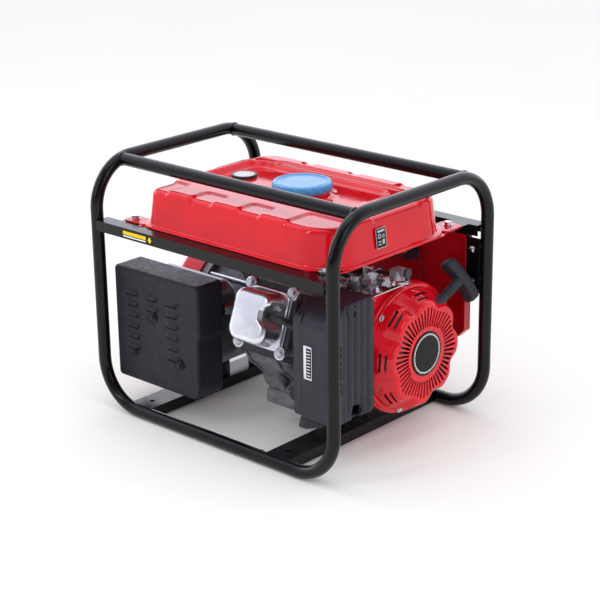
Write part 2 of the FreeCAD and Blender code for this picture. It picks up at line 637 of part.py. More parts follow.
def make_exhaust():
    step = 3.5
    edge = [(guard_left, guard_low, 6), (guard_right - step, guard_low, 20),
            (guard_right - step, guard_low + 89, 3), (guard_right, guard_low + 103, 3),
            (guard_right, guard_high, 6), (guard_left, guard_high, 6)]
    shell = prism(edge, guard_front, guard_back, "y")
    shell = soften(shell, 3.0, lambda e: abs(e.BoundBox.YMax - guard_front) < 0.01)
    inside = [(x + (sheet if x < -100 else -sheet), z + (sheet if z < 200 else -sheet), max(r - sheet, 1))
              for x, z, r in edge]
    shell = shell.cut(prism(inside, guard_front + sheet, guard_back + 1, "y"))
    louvres = []
    for x, rows in ((guard_left + 38, 6), (guard_left + 80, 2), (guard_left + 122, 6)):
        for row in range(rows):
            z = guard_high - 42 - 17 * row
            louvres.append(prism([(guard_front - 2.0, z + 1.0, 0), (guard_front + 0.6, z, 0),
                                  (guard_front + 0.6, z + 9, 0)], x - 13, x + 13, "x"))
    guard = fuse([shell] + louvres)
    can = prism(rect(guard_left + 14, guard_right - 12, guard_low + 34, guard_high - 14, 22),
                guard_front + 12, guard_back + 42, "y")
    can = soften(can, 8.0, lambda e: e.BoundBox.YLength < 0.01)
    hollow = prism(rect(guard_left + 16, guard_right - 14, guard_low + 36, guard_high - 16, 20),
                   guard_front + 14, guard_back + 40, "y")
    hollow = soften(hollow, 6.0, lambda e: e.BoundBox.YLength < 0.01)
    tail = (guard_left + 40, guard_back + 26, guard_low + 18)
    outlet = ring(*tail, Z, pipe_r, pipe_bore_r, 20)
    can = fuse([can.cut(hollow), outlet]).cut(rod(*tail, Z, pipe_bore_r, 20))
    screws = []
    for x, z in ((guard_left + 82, guard_low + 110), (guard_left + 36, guard_low + 46),
                 (guard_left + 136, guard_low + 48)):
        screws.append(bolt(x, guard_front, z, V(0, -1, 0), screw_r, 16.0, False))
        standoff = ring(x, guard_front + sheet, z, Y, 6.0, screw_r, 12.5 - sheet)
        can = can.fuse(standoff)
    port = V(cylinder_x - 40, crank_y - 104, crank_z + 36)
    run = [(port.x, port.y, port.z), (port.x - 20, port.y, port.z),
           (port.x - 34, port.y + 14, port.z + 4), (guard_right - 12, guard_back + 14, port.z + 4)]
    bend = hose(run, pipe_bend, pipe_r, pipe_bore_r)
    parts["exhaust_pipe"] = bend.cut([parts["cylinder_head"], parts["cylinder"]])
    parts["muffler"] = can.cut([pipe(run, pipe_bend, pipe_r)])
    parts["muffler_guard"] = guard.cut(screws)
    parts["muffler"] = parts["muffler"].cut(screws)
    parts["small_screws"] = Part.makeCompound(parts["small_screws"].Solids + screws)


def make_air_cleaner():
    side = [(cleaner_front, cleaner_low + 6, 9), (cleaner_back, cleaner_low, 9),
            (cleaner_back, cleaner_high, 12), (cleaner_front + 34, cleaner_high - 3, 12),
            (cleaner_front, cleaner_high - 22, 14)]
    split = cleaner_left + 14
    body = prism(side, split + 0.3, cleaner_right, "x")
    body = soften(body, 7.0, at_x(cleaner_right))
    inner = [(y + (2.2 if y < -100 else -2.2), z + (2.2 if z < 150 else -2.2), r - 2.2) for y, z, r in side]
    body = body.cut(prism(inner, split, cleaner_right - 2.4, "x"))
    flutes = []
    for i in range(6):
        y = cleaner_front + 16 + flute_pitch * i
        flutes.append(rod(cleaner_right + 3.2, y, cleaner_low - 2, Z, flute_r,
                          cleaner_high - cleaner_low + 4))
    body = body.cut(flutes)
    holes = [box(cleaner_right - 4, cleaner_right + 3, cleaner_front + 8, cleaner_front + 13,
                 cleaner_low + 50 + 10.4 * i, cleaner_low + 57 + 10.4 * i) for i in range(7)]
    arch = fuse([rod(cleaner_right - 1.6, cleaner_back - 34, cleaner_low + 8, X, 15, 4),
                 box(cleaner_right - 1.6, cleaner_right + 2, cleaner_back - 49, cleaner_back - 19,
                     cleaner_low - 2, cleaner_low + 8)])
    parts["air_cleaner_cover"] = body.cut(holes + [arch])
    base = prism(side, cleaner_left, split, "x")
    base = base.cut(prism(inner, cleaner_left + 2.4, split + 1, "x"))
    stub = ring(shroud_left + 6, intake_y, intake_z, X, intake_r, intake_bore_r,
                cleaner_left - shroud_left - 6)
    elbow = prism([(cleaner_front + 6, cleaner_low - 14, 4), (cleaner_front + 46, cleaner_low - 26, 6),
                   (cleaner_front + 60, cleaner_low + 8, 2), (cleaner_front + 14, cleaner_low + 8, 2)],
                  cleaner_left + 2, split - 2, "x")
    base = fuse([base, stub, elbow.cut(prism(side, cleaner_left, split, "x"))])
    parts["air_cleaner_base"] = base.cut(rod(cleaner_left - 1, intake_y, intake_z, X, intake_bore_r, 4))
    parts["air_filter"] = box(split + 2, cleaner_right - 14, cleaner_front + 12, cleaner_back - 12,
                              cleaner_low + 40, cleaner_high - 40)


def make_carburettor():
    x, y, z = 110.0, intake_y, intake_z
    bowl = fuse([rod(x - 12, y, z, X, 14, 36), rod(x + 8, y, z - 32, Z, 16, 26),
                 box(x, x + 16, y - 12, y + 12, z, z + 20)])
    throat = fuse([rod(x - 20, y, z, X, 10, 70), rod(x + 14, y - 20, z, Y, pivot_r + running_gap, 12)])
    parts["carburettor"] = bowl.cut(throat).cut([parts["air_cleaner_base"], parts["cylinder_head"],
                                                 parts["crankcase"], parts["blower_shroud"]])
    choke_x, choke_y = x + 14, y - 14.4
    parts["choke_lever"] = fuse([rod(choke_x, choke_y - 3.0, z, Y, 4.0, 3.0),
                                 rod(choke_x, choke_y, z, Y, pivot_r, 6),
                                 box(choke_x - 2, choke_x + 2, choke_y - 3.0, choke_y - 0.6, z, z + 22)])
    top = crank_z + shroud_r
    plate = fuse([box(136, 192, -38, 32, top + 2.4, top + 4.0), box(150, 152, -30, 24, top + 4, top + 20),
                  rod(144, crank_y - 30, top - 3, Z, 4, 7), rod(178, crank_y - 20, top - 1.4, Z, 4, 5)])
    pivot_y = -12.0
    plate = fuse([plate, rod(152, pivot_y, top + 12, X, governor_pivot_r, 14)])
    parts["control_plate"] = plate.cut(parts["blower_shroud"])
    lever = fuse([ring(153, pivot_y, top + 12, X, 8.0, governor_pivot_r + running_gap, 3.0),
                  box(153, 155, pivot_y - 4, pivot_y + 4, top + 18, top + 36),
                  rod(150.5, pivot_y, top + 33, X, 3.0, 16)])
    parts["throttle_lever"] = lever.cut(box(140, 152.6, -60, 60, top, top + 60))
    x_valve, y_valve = fuel_valve_x, fuel_valve_y
    parts["fuel_valve"] = fuse([rod(x_valve, y_valve, top + 10, Z, 11, 16),
                                rod(x_valve, y_valve, top + 24, X, 7.0, 16),
                                rod(x_valve, y_valve, top + 4, Z, 5, 8),
                                rod(x_valve - 12, y_valve, top + 16, X, 4, 8)])
    parts["fuel_valve_lever"] = fuse([rod(x_valve + 16.4, y_valve, top + 24, X, 7.0, 4.0),
                                      box(x_valve + 16.4, x_valve + 20.4, y_valve - 2.5, y_valve + 2.5,
                                          top + 6, top + 24)])
    parts["fuel_hose"] = hose([(x_valve - 12, y_valve, top + 16), (150, y_valve, top + 16), (118, 0, top + 4),
                               (x + 8, y + 20, z + 14), (x + 8, y + 12, z + 12)], 12, 3.5, 2.0)
    parts["fuel_hose"] = parts["fuel_hose"].cut([parts["carburettor"], parts["fuel_valve"],
                                                 parts["control_plate"]])


def make_panel():
    back = half_y + 1.0
    shape = [(panel_left, panel_low, 6), (panel_right - 14, panel_low, 6), (panel_right, panel_low + 14, 4),
             (panel_right, panel_high, 6), (panel_left, panel_high, 6)]
    panel = prism(shape, back - panel_deep, back, "y")
    inner = [(x + (panel_sheet if x < 0 else -panel_sheet), z + (panel_sheet if z < 200 else -panel_sheet),
              max(r - panel_sheet, 0)) for x, z, r in shape]
    face = back - panel_sheet
    panel = panel.cut(prism(inner, back - panel_deep - 1, face, "y"))
    fittings, cutters = [], []
    for x, z in socket_spots:
        ring_out = rod(x, face - 22, z, Y, socket_r, 22 + panel_sheet)
        rim = rod(x, back, z, Y, socket_rim_r, 5.0)
        well = rod(x, back - 16, z, Y, socket_r - 2, 30)
        fittings.append(fuse([ring_out, rim]).cut(well).cut(
            [rod(x + dx, back - 21, z, Y, 2.4, 10) for dx in (-9.5, 9.5)]))
        cutters.append(rod(x, face - 2, z, Y, socket_r, 6))
    meter = box(meter_x - 24, meter_x + 24, back, back + 4, meter_z - 20, meter_z + 20)
    meter = fuse([meter, rod(meter_x, face - 26, meter_z, Y, 18, 27.5)])
    dial = box(meter_x - 20, meter_x + 20, back + 1.2, back + 9, meter_z - 16, meter_z + 16)
    parts["voltmeter"] = meter.cut(dial)
    parts["voltmeter_needle"] = fuse([rod(meter_x, back + 1.5, meter_z - 10, Y, 2.2, 1.4),
                                      box(meter_x - 0.8, meter_x + 0.8, back + 1.7, back + 2.5,
                                          meter_z - 10, meter_z + 12)])
    cutters.append(rod(meter_x, face - 2, meter_z, Y, 18, 6))
    fittings.append(ring(breaker_x, face - 20, breaker_z, Y, 9.0, 5.4, 21.5 + 3.5))
    parts["breaker_button"] = rod(breaker_x, face - 12, breaker_z, Y, 5.0, 18.0)
    cutters.append(rod(breaker_x, face - 2, breaker_z, Y, 9.0, 6))
    frame = box(switch_x - 12, switch_x + 12, face - 16, back + 3, switch_z - 17, switch_z + 17)
    window = box(switch_x - 9, switch_x + 9, face - 14, back + 4, switch_z - 14, switch_z + 14)
    fittings.append(frame.cut(window))
    parts["panel_fittings"] = Part.makeCompound(fittings)
    rocker = fuse([prism([(back - 4, switch_z - 12, 0), (back + 1.0, switch_z - 12.5, 0),
                          (back + 4.0, switch_z, 3), (back + 1.0, switch_z + 12.5, 0),
                          (back - 4, switch_z + 12, 0)],
                         switch_x - 8, switch_x + 8, "x"),
                   rod(switch_x - 8, back - 4, switch_z, X, 3.0, 16)])
    parts["engine_switch"] = rocker
    cutters.append(box(switch_x - 12, switch_x + 12, face - 2, back, switch_z - 17, switch_z + 17))
    wing = fuse([rod(ground_x, back, ground_z, Y, 6.0, 5.0),
                 box(ground_x - 11, ground_x + 11, back + 2, back + 4, ground_z - 2.5, ground_z + 2.5)])
    stud = rod(ground_x, face - 10, ground_z, Y, 3.0, 18.5)
    parts["ground_terminal"] = fuse([wing, stud])
    cutters.append(rod(ground_x, face - 2, ground_z, Y, 3.0, 6))
    bolts, bracket = [], []
    plate_y = half_y - tube_r
    plate = box(panel_right + 1.6, half_x - 4, plate_y - 2.5, plate_y, 196, 279)
    lug = box(panel_right, panel_right + 1.6, plate_y - 2.5, plate_y + 9, 196, 279)
    bracket.append(fuse([plate, lug]))
    for z in (211, 260):
        bolts.append(bolt(panel_right + 11, plate_y - 2.5, z, V(0, -1, 0), 3.0, 7.0))
    left = box(panel_left + 10, panel_left + 34, back - panel_deep, back - panel_deep + 4,
               panel_high, rail_top - rail_tall)
    bracket.append(left)
    parts["small_screws"] = Part.makeCompound(parts["small_screws"].Solids + bolts)
    parts["panel_brackets"] = Part.makeCompound([piece.cut(bolts) for piece in bracket])
    parts["control_panel"] = panel.cut(cutters)


def make_hoses():
    start = V(cylinder_x + 28, crank_y - 164, crank_z + 66)
    points = [(start.x, start.y, start.z), (start.x + 22, start.y, start.z),
              (start.x + 44, start.y + 14, start.z - 12), (cleaner_left, start.y + 16, start.z - 14)]
    parts["breather_hose"] = hose(points, 16, 5.5, 3.5).cut([parts["valve_cover"], parts["air_cleaner_base"]])


def main():
    os.makedirs("parts", exist_ok=True)
    make_frame()
    make_mounts()
    make_tank()
    make_engine()
    make_starter()
    make_handle()
    make_crank_train()
    make_alternator()
    make_exhaust()
    make_air_cleaner()
    make_carburettor()
    make_panel()
    make_hoses()
    for name, shape in parts.items():
        shape.exportStep("parts/%s.step" % name)
        solids = len(shape.Solids)
        print("%-22s %2d solids %10.0f mm3 valid %s" % (name, solids, shape.Volume, shape.isValid()))
    print(len(parts), "nodes")


main()
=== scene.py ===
import json
import math
import random

import bmesh
import bpy
from bpy.props import FloatProperty, FloatVectorProperty, PointerProperty
from mathutils import Matrix, Vector, noise


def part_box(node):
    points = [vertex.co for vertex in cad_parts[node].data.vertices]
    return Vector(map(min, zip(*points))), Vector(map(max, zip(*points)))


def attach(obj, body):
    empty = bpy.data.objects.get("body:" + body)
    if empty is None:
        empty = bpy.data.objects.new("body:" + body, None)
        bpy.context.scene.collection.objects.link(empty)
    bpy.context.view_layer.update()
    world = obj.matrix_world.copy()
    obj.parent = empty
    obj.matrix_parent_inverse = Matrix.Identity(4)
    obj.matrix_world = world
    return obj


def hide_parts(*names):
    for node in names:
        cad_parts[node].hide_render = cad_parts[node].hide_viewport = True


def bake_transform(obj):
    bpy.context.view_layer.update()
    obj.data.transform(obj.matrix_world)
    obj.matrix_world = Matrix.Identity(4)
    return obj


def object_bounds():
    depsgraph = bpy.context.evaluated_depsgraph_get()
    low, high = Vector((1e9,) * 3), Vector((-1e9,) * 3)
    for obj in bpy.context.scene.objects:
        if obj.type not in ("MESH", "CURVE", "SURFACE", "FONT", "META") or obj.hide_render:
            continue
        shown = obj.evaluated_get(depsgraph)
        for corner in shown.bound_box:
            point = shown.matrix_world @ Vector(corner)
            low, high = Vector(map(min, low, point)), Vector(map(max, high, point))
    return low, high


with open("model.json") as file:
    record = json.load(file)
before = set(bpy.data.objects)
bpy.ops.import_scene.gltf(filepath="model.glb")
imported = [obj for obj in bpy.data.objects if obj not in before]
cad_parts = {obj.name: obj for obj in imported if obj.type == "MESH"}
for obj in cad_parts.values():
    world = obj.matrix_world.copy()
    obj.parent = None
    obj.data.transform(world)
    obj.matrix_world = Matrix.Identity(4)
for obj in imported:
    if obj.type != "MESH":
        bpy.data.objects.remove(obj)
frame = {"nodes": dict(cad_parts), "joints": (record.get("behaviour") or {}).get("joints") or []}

bl_info = {
    "name": "Portable generator",
    "version": (1, 0, 0),
    "blender": (4, 5, 0),
    "location": "View3D > Sidebar > Generator",
    "description": "Finishes and fine shapes round the frame of a portable generator",
    "category": "Object",
}

CAD_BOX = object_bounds()
X, Y, Z = Vector((1, 0, 0)), Vector((0, 1, 0)), Vector((0, 0, 1))


def linear(code):
    """sRGB hex code to the linear red, green and blue that shaders take."""
    values = [int(code[i:i + 2], 16) / 255 for i in (1, 3, 5)]
    return tuple(v / 12.92 if v <= 0.04045 else ((v + 0.055) / 1.055) ** 2.4 for v in values)


def size(name, text, default):
    return FloatProperty(name=name, description=text, default=default, unit="LENGTH", precision=5)


def colour(name, text, code):
    return FloatVectorProperty(name=name, description=text, default=linear(code), subtype="COLOR",
                               min=0.0, max=1.0)


class GeneratorColours(bpy.types.PropertyGroup):
    frame: colour("Frame enamel", "Gloss black coat of the tube frame", "#050508")
    tank: colour("Red enamel", "Gloss red coat of the pressed sheet parts", "#d20f20")
    guard: colour("Heat resistant black", "Matt coat of the muffler guard", "#201f2a")
    plastic: colour("Moulded plastic", "Air cleaner and other black mouldings", "#292833")
    grip: colour("Handle", "Pull handle and levers", "#2c2e35")
    casting: colour("Castings", "Die cast aluminium of the engine", "#77767e")
    film: colour("Cap film", "Blue film over the fuel cap", "#4a90cc")
    label: colour("Label yellow", "Bar of the front label", "#f2c811")
    rope: colour("Rope", "Braided starter rope", "#d8d4c8")


class GeneratorSizes(bpy.types.PropertyGroup):
    bay_depth: size("Bay depth", "Step down from the tank's top to the pressed bays", 0.0028)
    ledge_step: size("Ledge step", "Step from the raised back band to the ledge by the recess", 0.0025)
    tank_fillet: size("Tank fillet", "Radius between the tank's walls and its top", 0.009)
    bead: size("Weld bead", "Thickness of the welds between frame tubes", 0.0022)
    rope: size("Rope diameter", "Diameter of the starter rope", 0.004)
    lead: size("Lead diameter", "Diameter of the ignition lead", 0.0065)
    wire: size("Wire diameter", "Diameter of the thin wires by the panel", 0.0022)
    label_thick: size("Label thickness", "Thickness of the stuck-on labels", 0.00018)


# ---------------------------------------------------------------- material nodes
def add_node(tree, kind, values=None, links=None, **settings):
    """Adds a node, sets its settings and socket values, and links its inputs."""
    node = tree.nodes.new(kind)
    for name, value in settings.items():
        setattr(node, name, value)
    for socket, value in (values or {}).items():
        node.inputs[socket].default_value = value
    for socket, source in (links or {}).items():
        tree.links.new(source, node.inputs[socket])
    return node


def start(name, base, roughness, **constants):
    """New material: returns it with its tree, its shader and the place on the part in metres."""
    made = bpy.data.materials.new(name)
    made.use_nodes = True
    tree = made.node_tree
    tree.nodes.clear()
    place = add_node(tree, "ShaderNodeTexCoord").outputs["Object"]
    values = {"Base Color": (*base, 1.0), "Roughness": roughness}
    values.update({key.replace("_", " "): value for key, value in constants.items()})
    shader = add_node(tree, "ShaderNodeBsdfPrincipled", values)
    add_node(tree, "ShaderNodeOutputMaterial", links={"Surface": shader.outputs["BSDF"]})
    return made, tree, shader, place


def lumps(tree, place, wide, detail=2.0, stretch=(1, 1, 1), rough=0.5):
    """Noise whose lumps are this wide in metres."""
    spot = add_node(tree, "ShaderNodeMapping", {"Scale": stretch}, {"Vector": place}).outputs["Vector"]
    return add_node(tree, "ShaderNodeTexNoise", {"Scale": 1 / wide, "Detail": detail, "Roughness": rough},
                    {"Vector": spot}).outputs["Fac"]


def relief(tree, shader, height, deep, edge=0.0, under=None):
    """Bump this deep in metres, over edges eased by the radius edge."""
    links = {"Height": height}
    if edge:
        links["Normal"] = add_node(tree, "ShaderNodeBevel", {"Radius": edge}, samples=4).outputs["Normal"]
    if under:
        links["Normal"] = under
    bump = add_node(tree, "ShaderNodeBump", {"Strength": 1.0, "Distance": deep}, links)
    tree.links.new(bump.outputs["Normal"], shader.inputs["Normal"])
    return bump.outputs["Normal"]


def drift(tree, shader, factor, dark, light, low=0.35, high=0.65):
    """Base colour that moves between two shades with the factor."""
    ramp = add_node(tree, "ShaderNodeValToRGB", links={"Fac": factor})
    first, last = ramp.color_ramp.elements
    first.position, last.position = low, high
    first.color, last.color = (*dark, 1.0), (*light, 1.0)
    tree.links.new(ramp.outputs["Color"], shader.inputs["Base Color"])


def polish(tree, shader, factor, low, high):
    """Roughness that moves between two values with the factor."""
    spread = add_node(tree, "ShaderNodeMapRange",
                      {"From Min": 0.3, "From Max": 0.7, "To Min": low, "To Max": high}, {"Value": factor})
    tree.links.new(spread.outputs["Result"], shader.inputs["Roughness"])


def shade(base, factor):
    return tuple(min(1.0, c * factor) for c in base)


# ---------------------------------------------------------------- finishes
def gloss_enamel(name, base, peel=0.000012, edge=0.0006):
    """Stoved gloss enamel, sprayed on steel: sharp lights with a slight orange peel of 3 mm ripples."""
    made, tree, shader, place = start(name, base, 0.09, IOR=1.5, Specular_IOR_Level=0.4)
    drift(tree, shader, lumps(tree, place, 0.05), shade(base, 0.93), shade(base, 1.05))
    polish(tree, shader, lumps(tree, place, 0.02, 4.0), 0.06, 0.12)
    relief(tree, shader, lumps(tree, place, 0.003, 1.0), peel, edge)
    return made


def powder_coat(name, base):
    """Gloss powder coat on bent tube: a thick coat with 2 mm orange peel that breaks up the long lights."""
    made, tree, shader, place = start(name, base, 0.22, IOR=1.5, Specular_IOR_Level=0.28)
    drift(tree, shader, lumps(tree, place, 0.03), shade(base, 0.85), shade(base, 1.2))
    polish(tree, shader, lumps(tree, place, 0.012, 4.0), 0.17, 0.27)
    relief(tree, shader, lumps(tree, place, 0.0022, 1.5), 0.00002, 0.0005)
    return made


def heat_paint(name, base):
    """Silicone heat paint on pressed sheet: a matt, faintly sandy skin with scuffs."""
    made, tree, shader, place = start(name, base, 0.5, IOR=1.45, Specular_IOR_Level=0.3)
    drift(tree, shader, lumps(tree, place, 0.02, 5.0), shade(base, 0.8), shade(base, 1.15))
    polish(tree, shader, lumps(tree, place, 0.008, 4.0), 0.42, 0.6)
    relief(tree, shader, lumps(tree, place, 0.0006, 3.0), 0.00003, 0.0006)
    return made


def moulded_plastic(name, base, roughness=0.42, grain=0.0008):
    """Injection moulded polypropylene: fine spark-eroded grain and slow flow marks."""
    made, tree, shader, place = start(name, base, roughness, IOR=1.49, Specular_IOR_Level=0.33)
    drift(tree, shader, lumps(tree, place, 0.04, 2.0), shade(base, 0.9), shade(base, 1.1))
    polish(tree, shader, lumps(tree, place, 0.015, 3.0), roughness - 0.06, roughness + 0.08)
    relief(tree, shader, lumps(tree, place, grain, 2.0), 0.00004, 0.0007)
    return made


def die_casting(name, base):
    """Die cast aluminium, shot blasted: grainy skin, dull sparkle and a tone that drifts darker and lighter
    in patches.
    """
    made, tree, shader, place = start(name, base, 0.5, Metallic=0.55)
    drift(tree, shader, lumps(tree, place, 0.012, 6.0), shade(base, 0.62), shade(base, 1.2))
    polish(tree, shader, lumps(tree, place, 0.003, 4.0), 0.42, 0.62)
    relief(tree, shader, lumps(tree, place, 0.0012, 4.0), 0.00012, 0.0006)
    return made


def plated(name, base, roughness, wear=0.002):
    """Bright zinc plate on steel: clean metal lights with a fine cloudy bloom."""
    made, tree, shader, place = start(name, base, roughness, Metallic=1.0)
    drift(tree, shader, lumps(tree, place, 0.006, 4.0), shade(base, 0.9), shade(base, 1.05))
    polish(tree, shader, lumps(tree, place, wear, 4.0), roughness * 0.85, roughness * 1.2)
    relief(tree, shader, lumps(tree, place, 0.004, 2.0), 0.000008, 0.0003)
    return made


def polished(name, base):
    """Nickel and chrome plate on deep drawn steel: mirror lights, faint drawing marks 8 mm long."""
    made, tree, shader, place = start(name, base, 0.3, Metallic=1.0)
    drift(tree, shader, lumps(tree, place, 0.03, 2.0), shade(base, 0.9), shade(base, 1.05))
    polish(tree, shader, lumps(tree, place, 0.008, 3.0), 0.27, 0.35)
    relief(tree, shader, lumps(tree, place, 0.012, 1.0), 0.00001, 0.0004)
    return made


def rolled_steel(name, base, roughness=0.4):
    """Mill-rolled steel with an oily film: streaks along the rolling direction."""
    made, tree, shader, place = start(name, base, roughness, Metallic=1.0)
    streaks = lumps(tree, place, 0.002, 4.0, (0.1, 1, 1))
    drift(tree, shader, streaks, shade(base, 0.7), shade(base, 1.15))
    polish(tree, shader, streaks, roughness - 0.1, roughness + 0.12)
    relief(tree, shader, streaks, 0.00002, 0.0004)
    return made


def laminations(name, base):
    """Stacked electrical sheet, varnished: 0.5 mm sheets, drawn 2 mm apart so that they show."""
    made, tree, shader, place = start(name, base, 0.4, Metallic=0.8)
    bands = add_node(tree, "ShaderNodeTexWave", {"Scale": 1 / 0.002 / 3.14159, "Distortion": 0.3},
                     {"Vector": place}, wave_type="BANDS", bands_direction="X").outputs["Fac"]
    drift(tree, shader, lumps(tree, place, 0.01, 4.0), shade(base, 0.7), shade(base, 1.25))
    polish(tree, shader, bands, 0.3, 0.5)
    relief(tree, shader, bands, 0.0001)
    return made


def rubber(name, base):
    """Moulded nitrile rubber: dull black with a soft bloom."""
    made, tree, shader, place = start(name, base, 0.6, IOR=1.52, Sheen_Weight=0.15, Sheen_Roughness=0.5)
    drift(tree, shader, lumps(tree, place, 0.008, 4.0), shade(base, 0.75), shade(base, 1.3))
    polish(tree, shader, lumps(tree, place, 0.004, 3.0), 0.5, 0.7)
    relief(tree, shader, lumps(tree, place, 0.0007, 2.0), 0.00003, 0.0004)
    return made


def stretch_film(name, base):
    """Blue polyethylene film pulled over a plated cap: sharp creases and a deep, even tint."""
    made, tree, shader, place = start(name, base, 0.3, IOR=1.45, Specular_IOR_Level=0.3)
    drift(tree, shader, lumps(tree, place, 0.006, 3.0), shade(base, 0.92), shade(base, 1.1), 0.3, 0.7)
    polish(tree, shader, lumps(tree, place, 0.004, 2.0), 0.1, 0.2)
    relief(tree, shader, lumps(tree, place, 0.006, 1.5), 0.00006)
    return made


def acrylic(name, base):
    """Cast clear acrylic: see-through with light scratches."""
    made, tree, shader, place = start(name, base, 0.05, IOR=1.49, Transmission_Weight=0.9)
    polish(tree, shader, lumps(tree, place, 0.001, 3.0), 0.02, 0.09)
    relief(tree, shader, lumps(tree, place, 0.004, 2.0), 0.00001)
    return made


def open_foam(name, base):
    """Oiled open-cell polyurethane foam: 1.5 mm cells."""
    made, tree, shader, place = start(name, base, 0.85, IOR=1.45)
    cells = add_node(tree, "ShaderNodeTexVoronoi", {"Scale": 1 / 0.0015}, {"Vector": place})
    cells = cells.outputs["Distance"]
    drift(tree, shader, cells, shade(base, 1.4), shade(base, 0.4), 0.2, 0.7)
    relief(tree, shader, cells, 0.0008)
    return made


def braided_cord(name, base):
    """Braided nylon rope: crossing strands 1.5 mm apart with a dusty sheen, and painted shade in the grooves
    between them.
    """
    made, tree, shader, place = start(name, base, 0.7, IOR=1.53, Sheen_Weight=0.4, Sheen_Roughness=0.4)
    strands = add_node(tree, "ShaderNodeTexWave", {"Scale": 1 / 0.0015 / 3.14159, "Distortion": 1.5},
                       {"Vector": place}, wave_type="BANDS", bands_direction="DIAGONAL").outputs["Fac"]
    # painted shade: the grooves between the strands, which the bump sinks, are drawn at half the rope's
    # colour
    drift(tree, shader, strands, shade(base, 0.5), base, 0.2, 0.7)
    polish(tree, shader, lumps(tree, place, 0.002, 2.0), 0.6, 0.8)
    relief(tree, shader, strands, 0.0003)
    return made


def printed_vinyl(name, base, metallic=0.0):
    """Screen printed vinyl: an even satin skin with faint print grain."""
    made, tree, shader, place = start(name, base, 0.35, IOR=1.5, Specular_IOR_Level=0.2, Metallic=metallic)
    drift(tree, shader, lumps(tree, place, 0.0015, 3.0), shade(base, 0.9), shade(base, 1.06))
    polish(tree, shader, lumps(tree, place, 0.003, 3.0), 0.3, 0.42)
    relief(tree, shader, lumps(tree, place, 0.001, 2.0), 0.00001)
    return made


def studio_paper(name, base):
    """Seamless background paper: dull, pale and faintly fibrous."""
    made, tree, shader, place = start(name, base, 0.9, IOR=1.45)
    drift(tree, shader, lumps(tree, place, 0.4, 3.0), shade(base, 0.985), base)
    relief(tree, shader, lumps(tree, place, 0.004, 3.0), 0.00005)
    return made


MATERIALS = {}


def make_finishes(colours):
    """Every finish once, by the name that pieces and nodes ask for."""
    zinc, steel = linear("#c9c9cf"), linear("#8b8b92")
    made = dict(
        frame_enamel=powder_coat("gloss_black_powder_coat", colours.frame),
        red_enamel=gloss_enamel("gloss_red_enamel", colours.tank),
        # the control panel takes the tank's red enamel darkened to three quarters
        dark_red=gloss_enamel("darkened_red_enamel", shade(colours.tank, 0.75), 0.00002),
        guard=heat_paint("heat_resistant_matt_black", colours.guard),
        plastic=moulded_plastic("moulded_black_polypropylene", colours.plastic),
        grip=moulded_plastic("moulded_grey_nylon", colours.grip, 0.36, 0.0006),
        switch=moulded_plastic("moulded_red_abs", linear("#b5121b"), 0.3, 0.0006),
        casting=die_casting("die_cast_aluminium", colours.casting),
        bright_casting=die_casting("machined_aluminium", linear("#a9a9b0")),
        zinc=plated("zinc_plated_steel", zinc, 0.26),
        chrome=polished("bright_plated_pressed_steel", linear("#e8eaf2")),
        steel=rolled_steel("rolled_steel", steel),
        iron=laminations("laminated_iron", linear("#4b4a50")),
        rubber=rubber("moulded_nitrile_rubber", linear("#17171a")),
        film=stretch_film("blue_stretch_film", colours.film),
        lens=acrylic("clear_acrylic", linear("#f4f6f8")),
        foam=open_foam("oiled_open_cell_foam", linear("#2b2b2e")),
        rope=braided_cord("braided_nylon_rope", colours.rope),
        needle=printed_vinyl("painted_needle", linear("#e2541b")),
        brass=plated("turned_brass", linear("#c79a4e"), 0.3),
        white_print=printed_vinyl("white_print", linear("#f0f0f0")),
        black_print=printed_vinyl("black_print", linear("#060608")),
        yellow_print=printed_vinyl("yellow_print", colours.label),
        silver_print=printed_vinyl("silver_print", linear("#b9bac0"), 0.6),
        red_print=printed_vinyl("red_print", linear("#c01522")),
        red_wire=moulded_plastic("red_wire_sleeve", linear("#a3141a"), 0.35, 0.0006),
        yellow_wire=moulded_plastic("yellow_wire_sleeve", linear("#c9a21c"), 0.35, 0.0006),
        black_wire=moulded_plastic("black_wire_sleeve", linear("#1b1b1e"), 0.35, 0.0006),
    )
    MATERIALS.update(made)


NODE_FINISH = dict(
    frame_enamel=("frame_hoop_left", "frame_hoop_right", "top_rails", "tank_rail_front", "tank_rail_rear",
                  "cross_members", "panel_brackets"),
    red_enamel=("fuel_tank_lower", "blower_shroud", "alternator_cover"),
    dark_red=("control_panel",),
    plastic=("air_cleaner_base", "oil_dipstick", "valve_cover_gasket", "panel_fittings",
             "voltmeter", "recoil_pulley"),
    grip=("choke_lever", "fuel_valve_lever", "fuel_gauge"),
    switch=("engine_switch", "breaker_button"),
    casting=("cylinder", "cylinder_head", "crankcase", "alternator_bracket", "flywheel"),
    bright_casting=("carburettor", "fuel_valve"),
    zinc=("tank_bolts", "valve_cover_bolts", "alternator_bolts", "control_plate",
          "throttle_lever", "spark_plug"),
    steel=("exhaust_pipe", "muffler", "crankshaft"),
    iron=("rotor", "stator"),
    rubber=("rubber_mounts", "spark_plug_cap", "fuel_hose", "breather_hose", "fuel_cap_seal"),
    lens=("fuel_gauge_lens",),
    foam=("air_filter",),
    rope=("starter_rope",),
    needle=("fuel_gauge_needle", "voltmeter_needle"),
    brass=("ground_terminal",),
    film=("fuel_cap",),
)


# ---------------------------------------------------------------- places on the frame
def joint(name):
    return next(j for j in frame["joints"] if j["name"] == name)


def corners(points):
    """Lowest and highest corner round some points."""
    return (Vector([min(p[i] for p in points) for i in range(3)]),
            Vector([max(p[i] for p in points) for i in range(3)]))


def level_box(node, low, high):
    """Corners of the part of a node whose points lie between two heights."""
    return corners([v.co for v in frame["nodes"][node].data.vertices if low <= v.co.z <= high])


def clusters(node, reach=0.03):
    """Lowest and highest corner of each separate screw in a node."""
    points = [v.co for v in frame["nodes"][node].data.vertices]
    found = []
    while points:
        near = [p for p in points if (p - points[0]).length < reach]
        points = [p for p in points if (p - points[0]).length >= reach]
        found.append(corners(near))
    return found


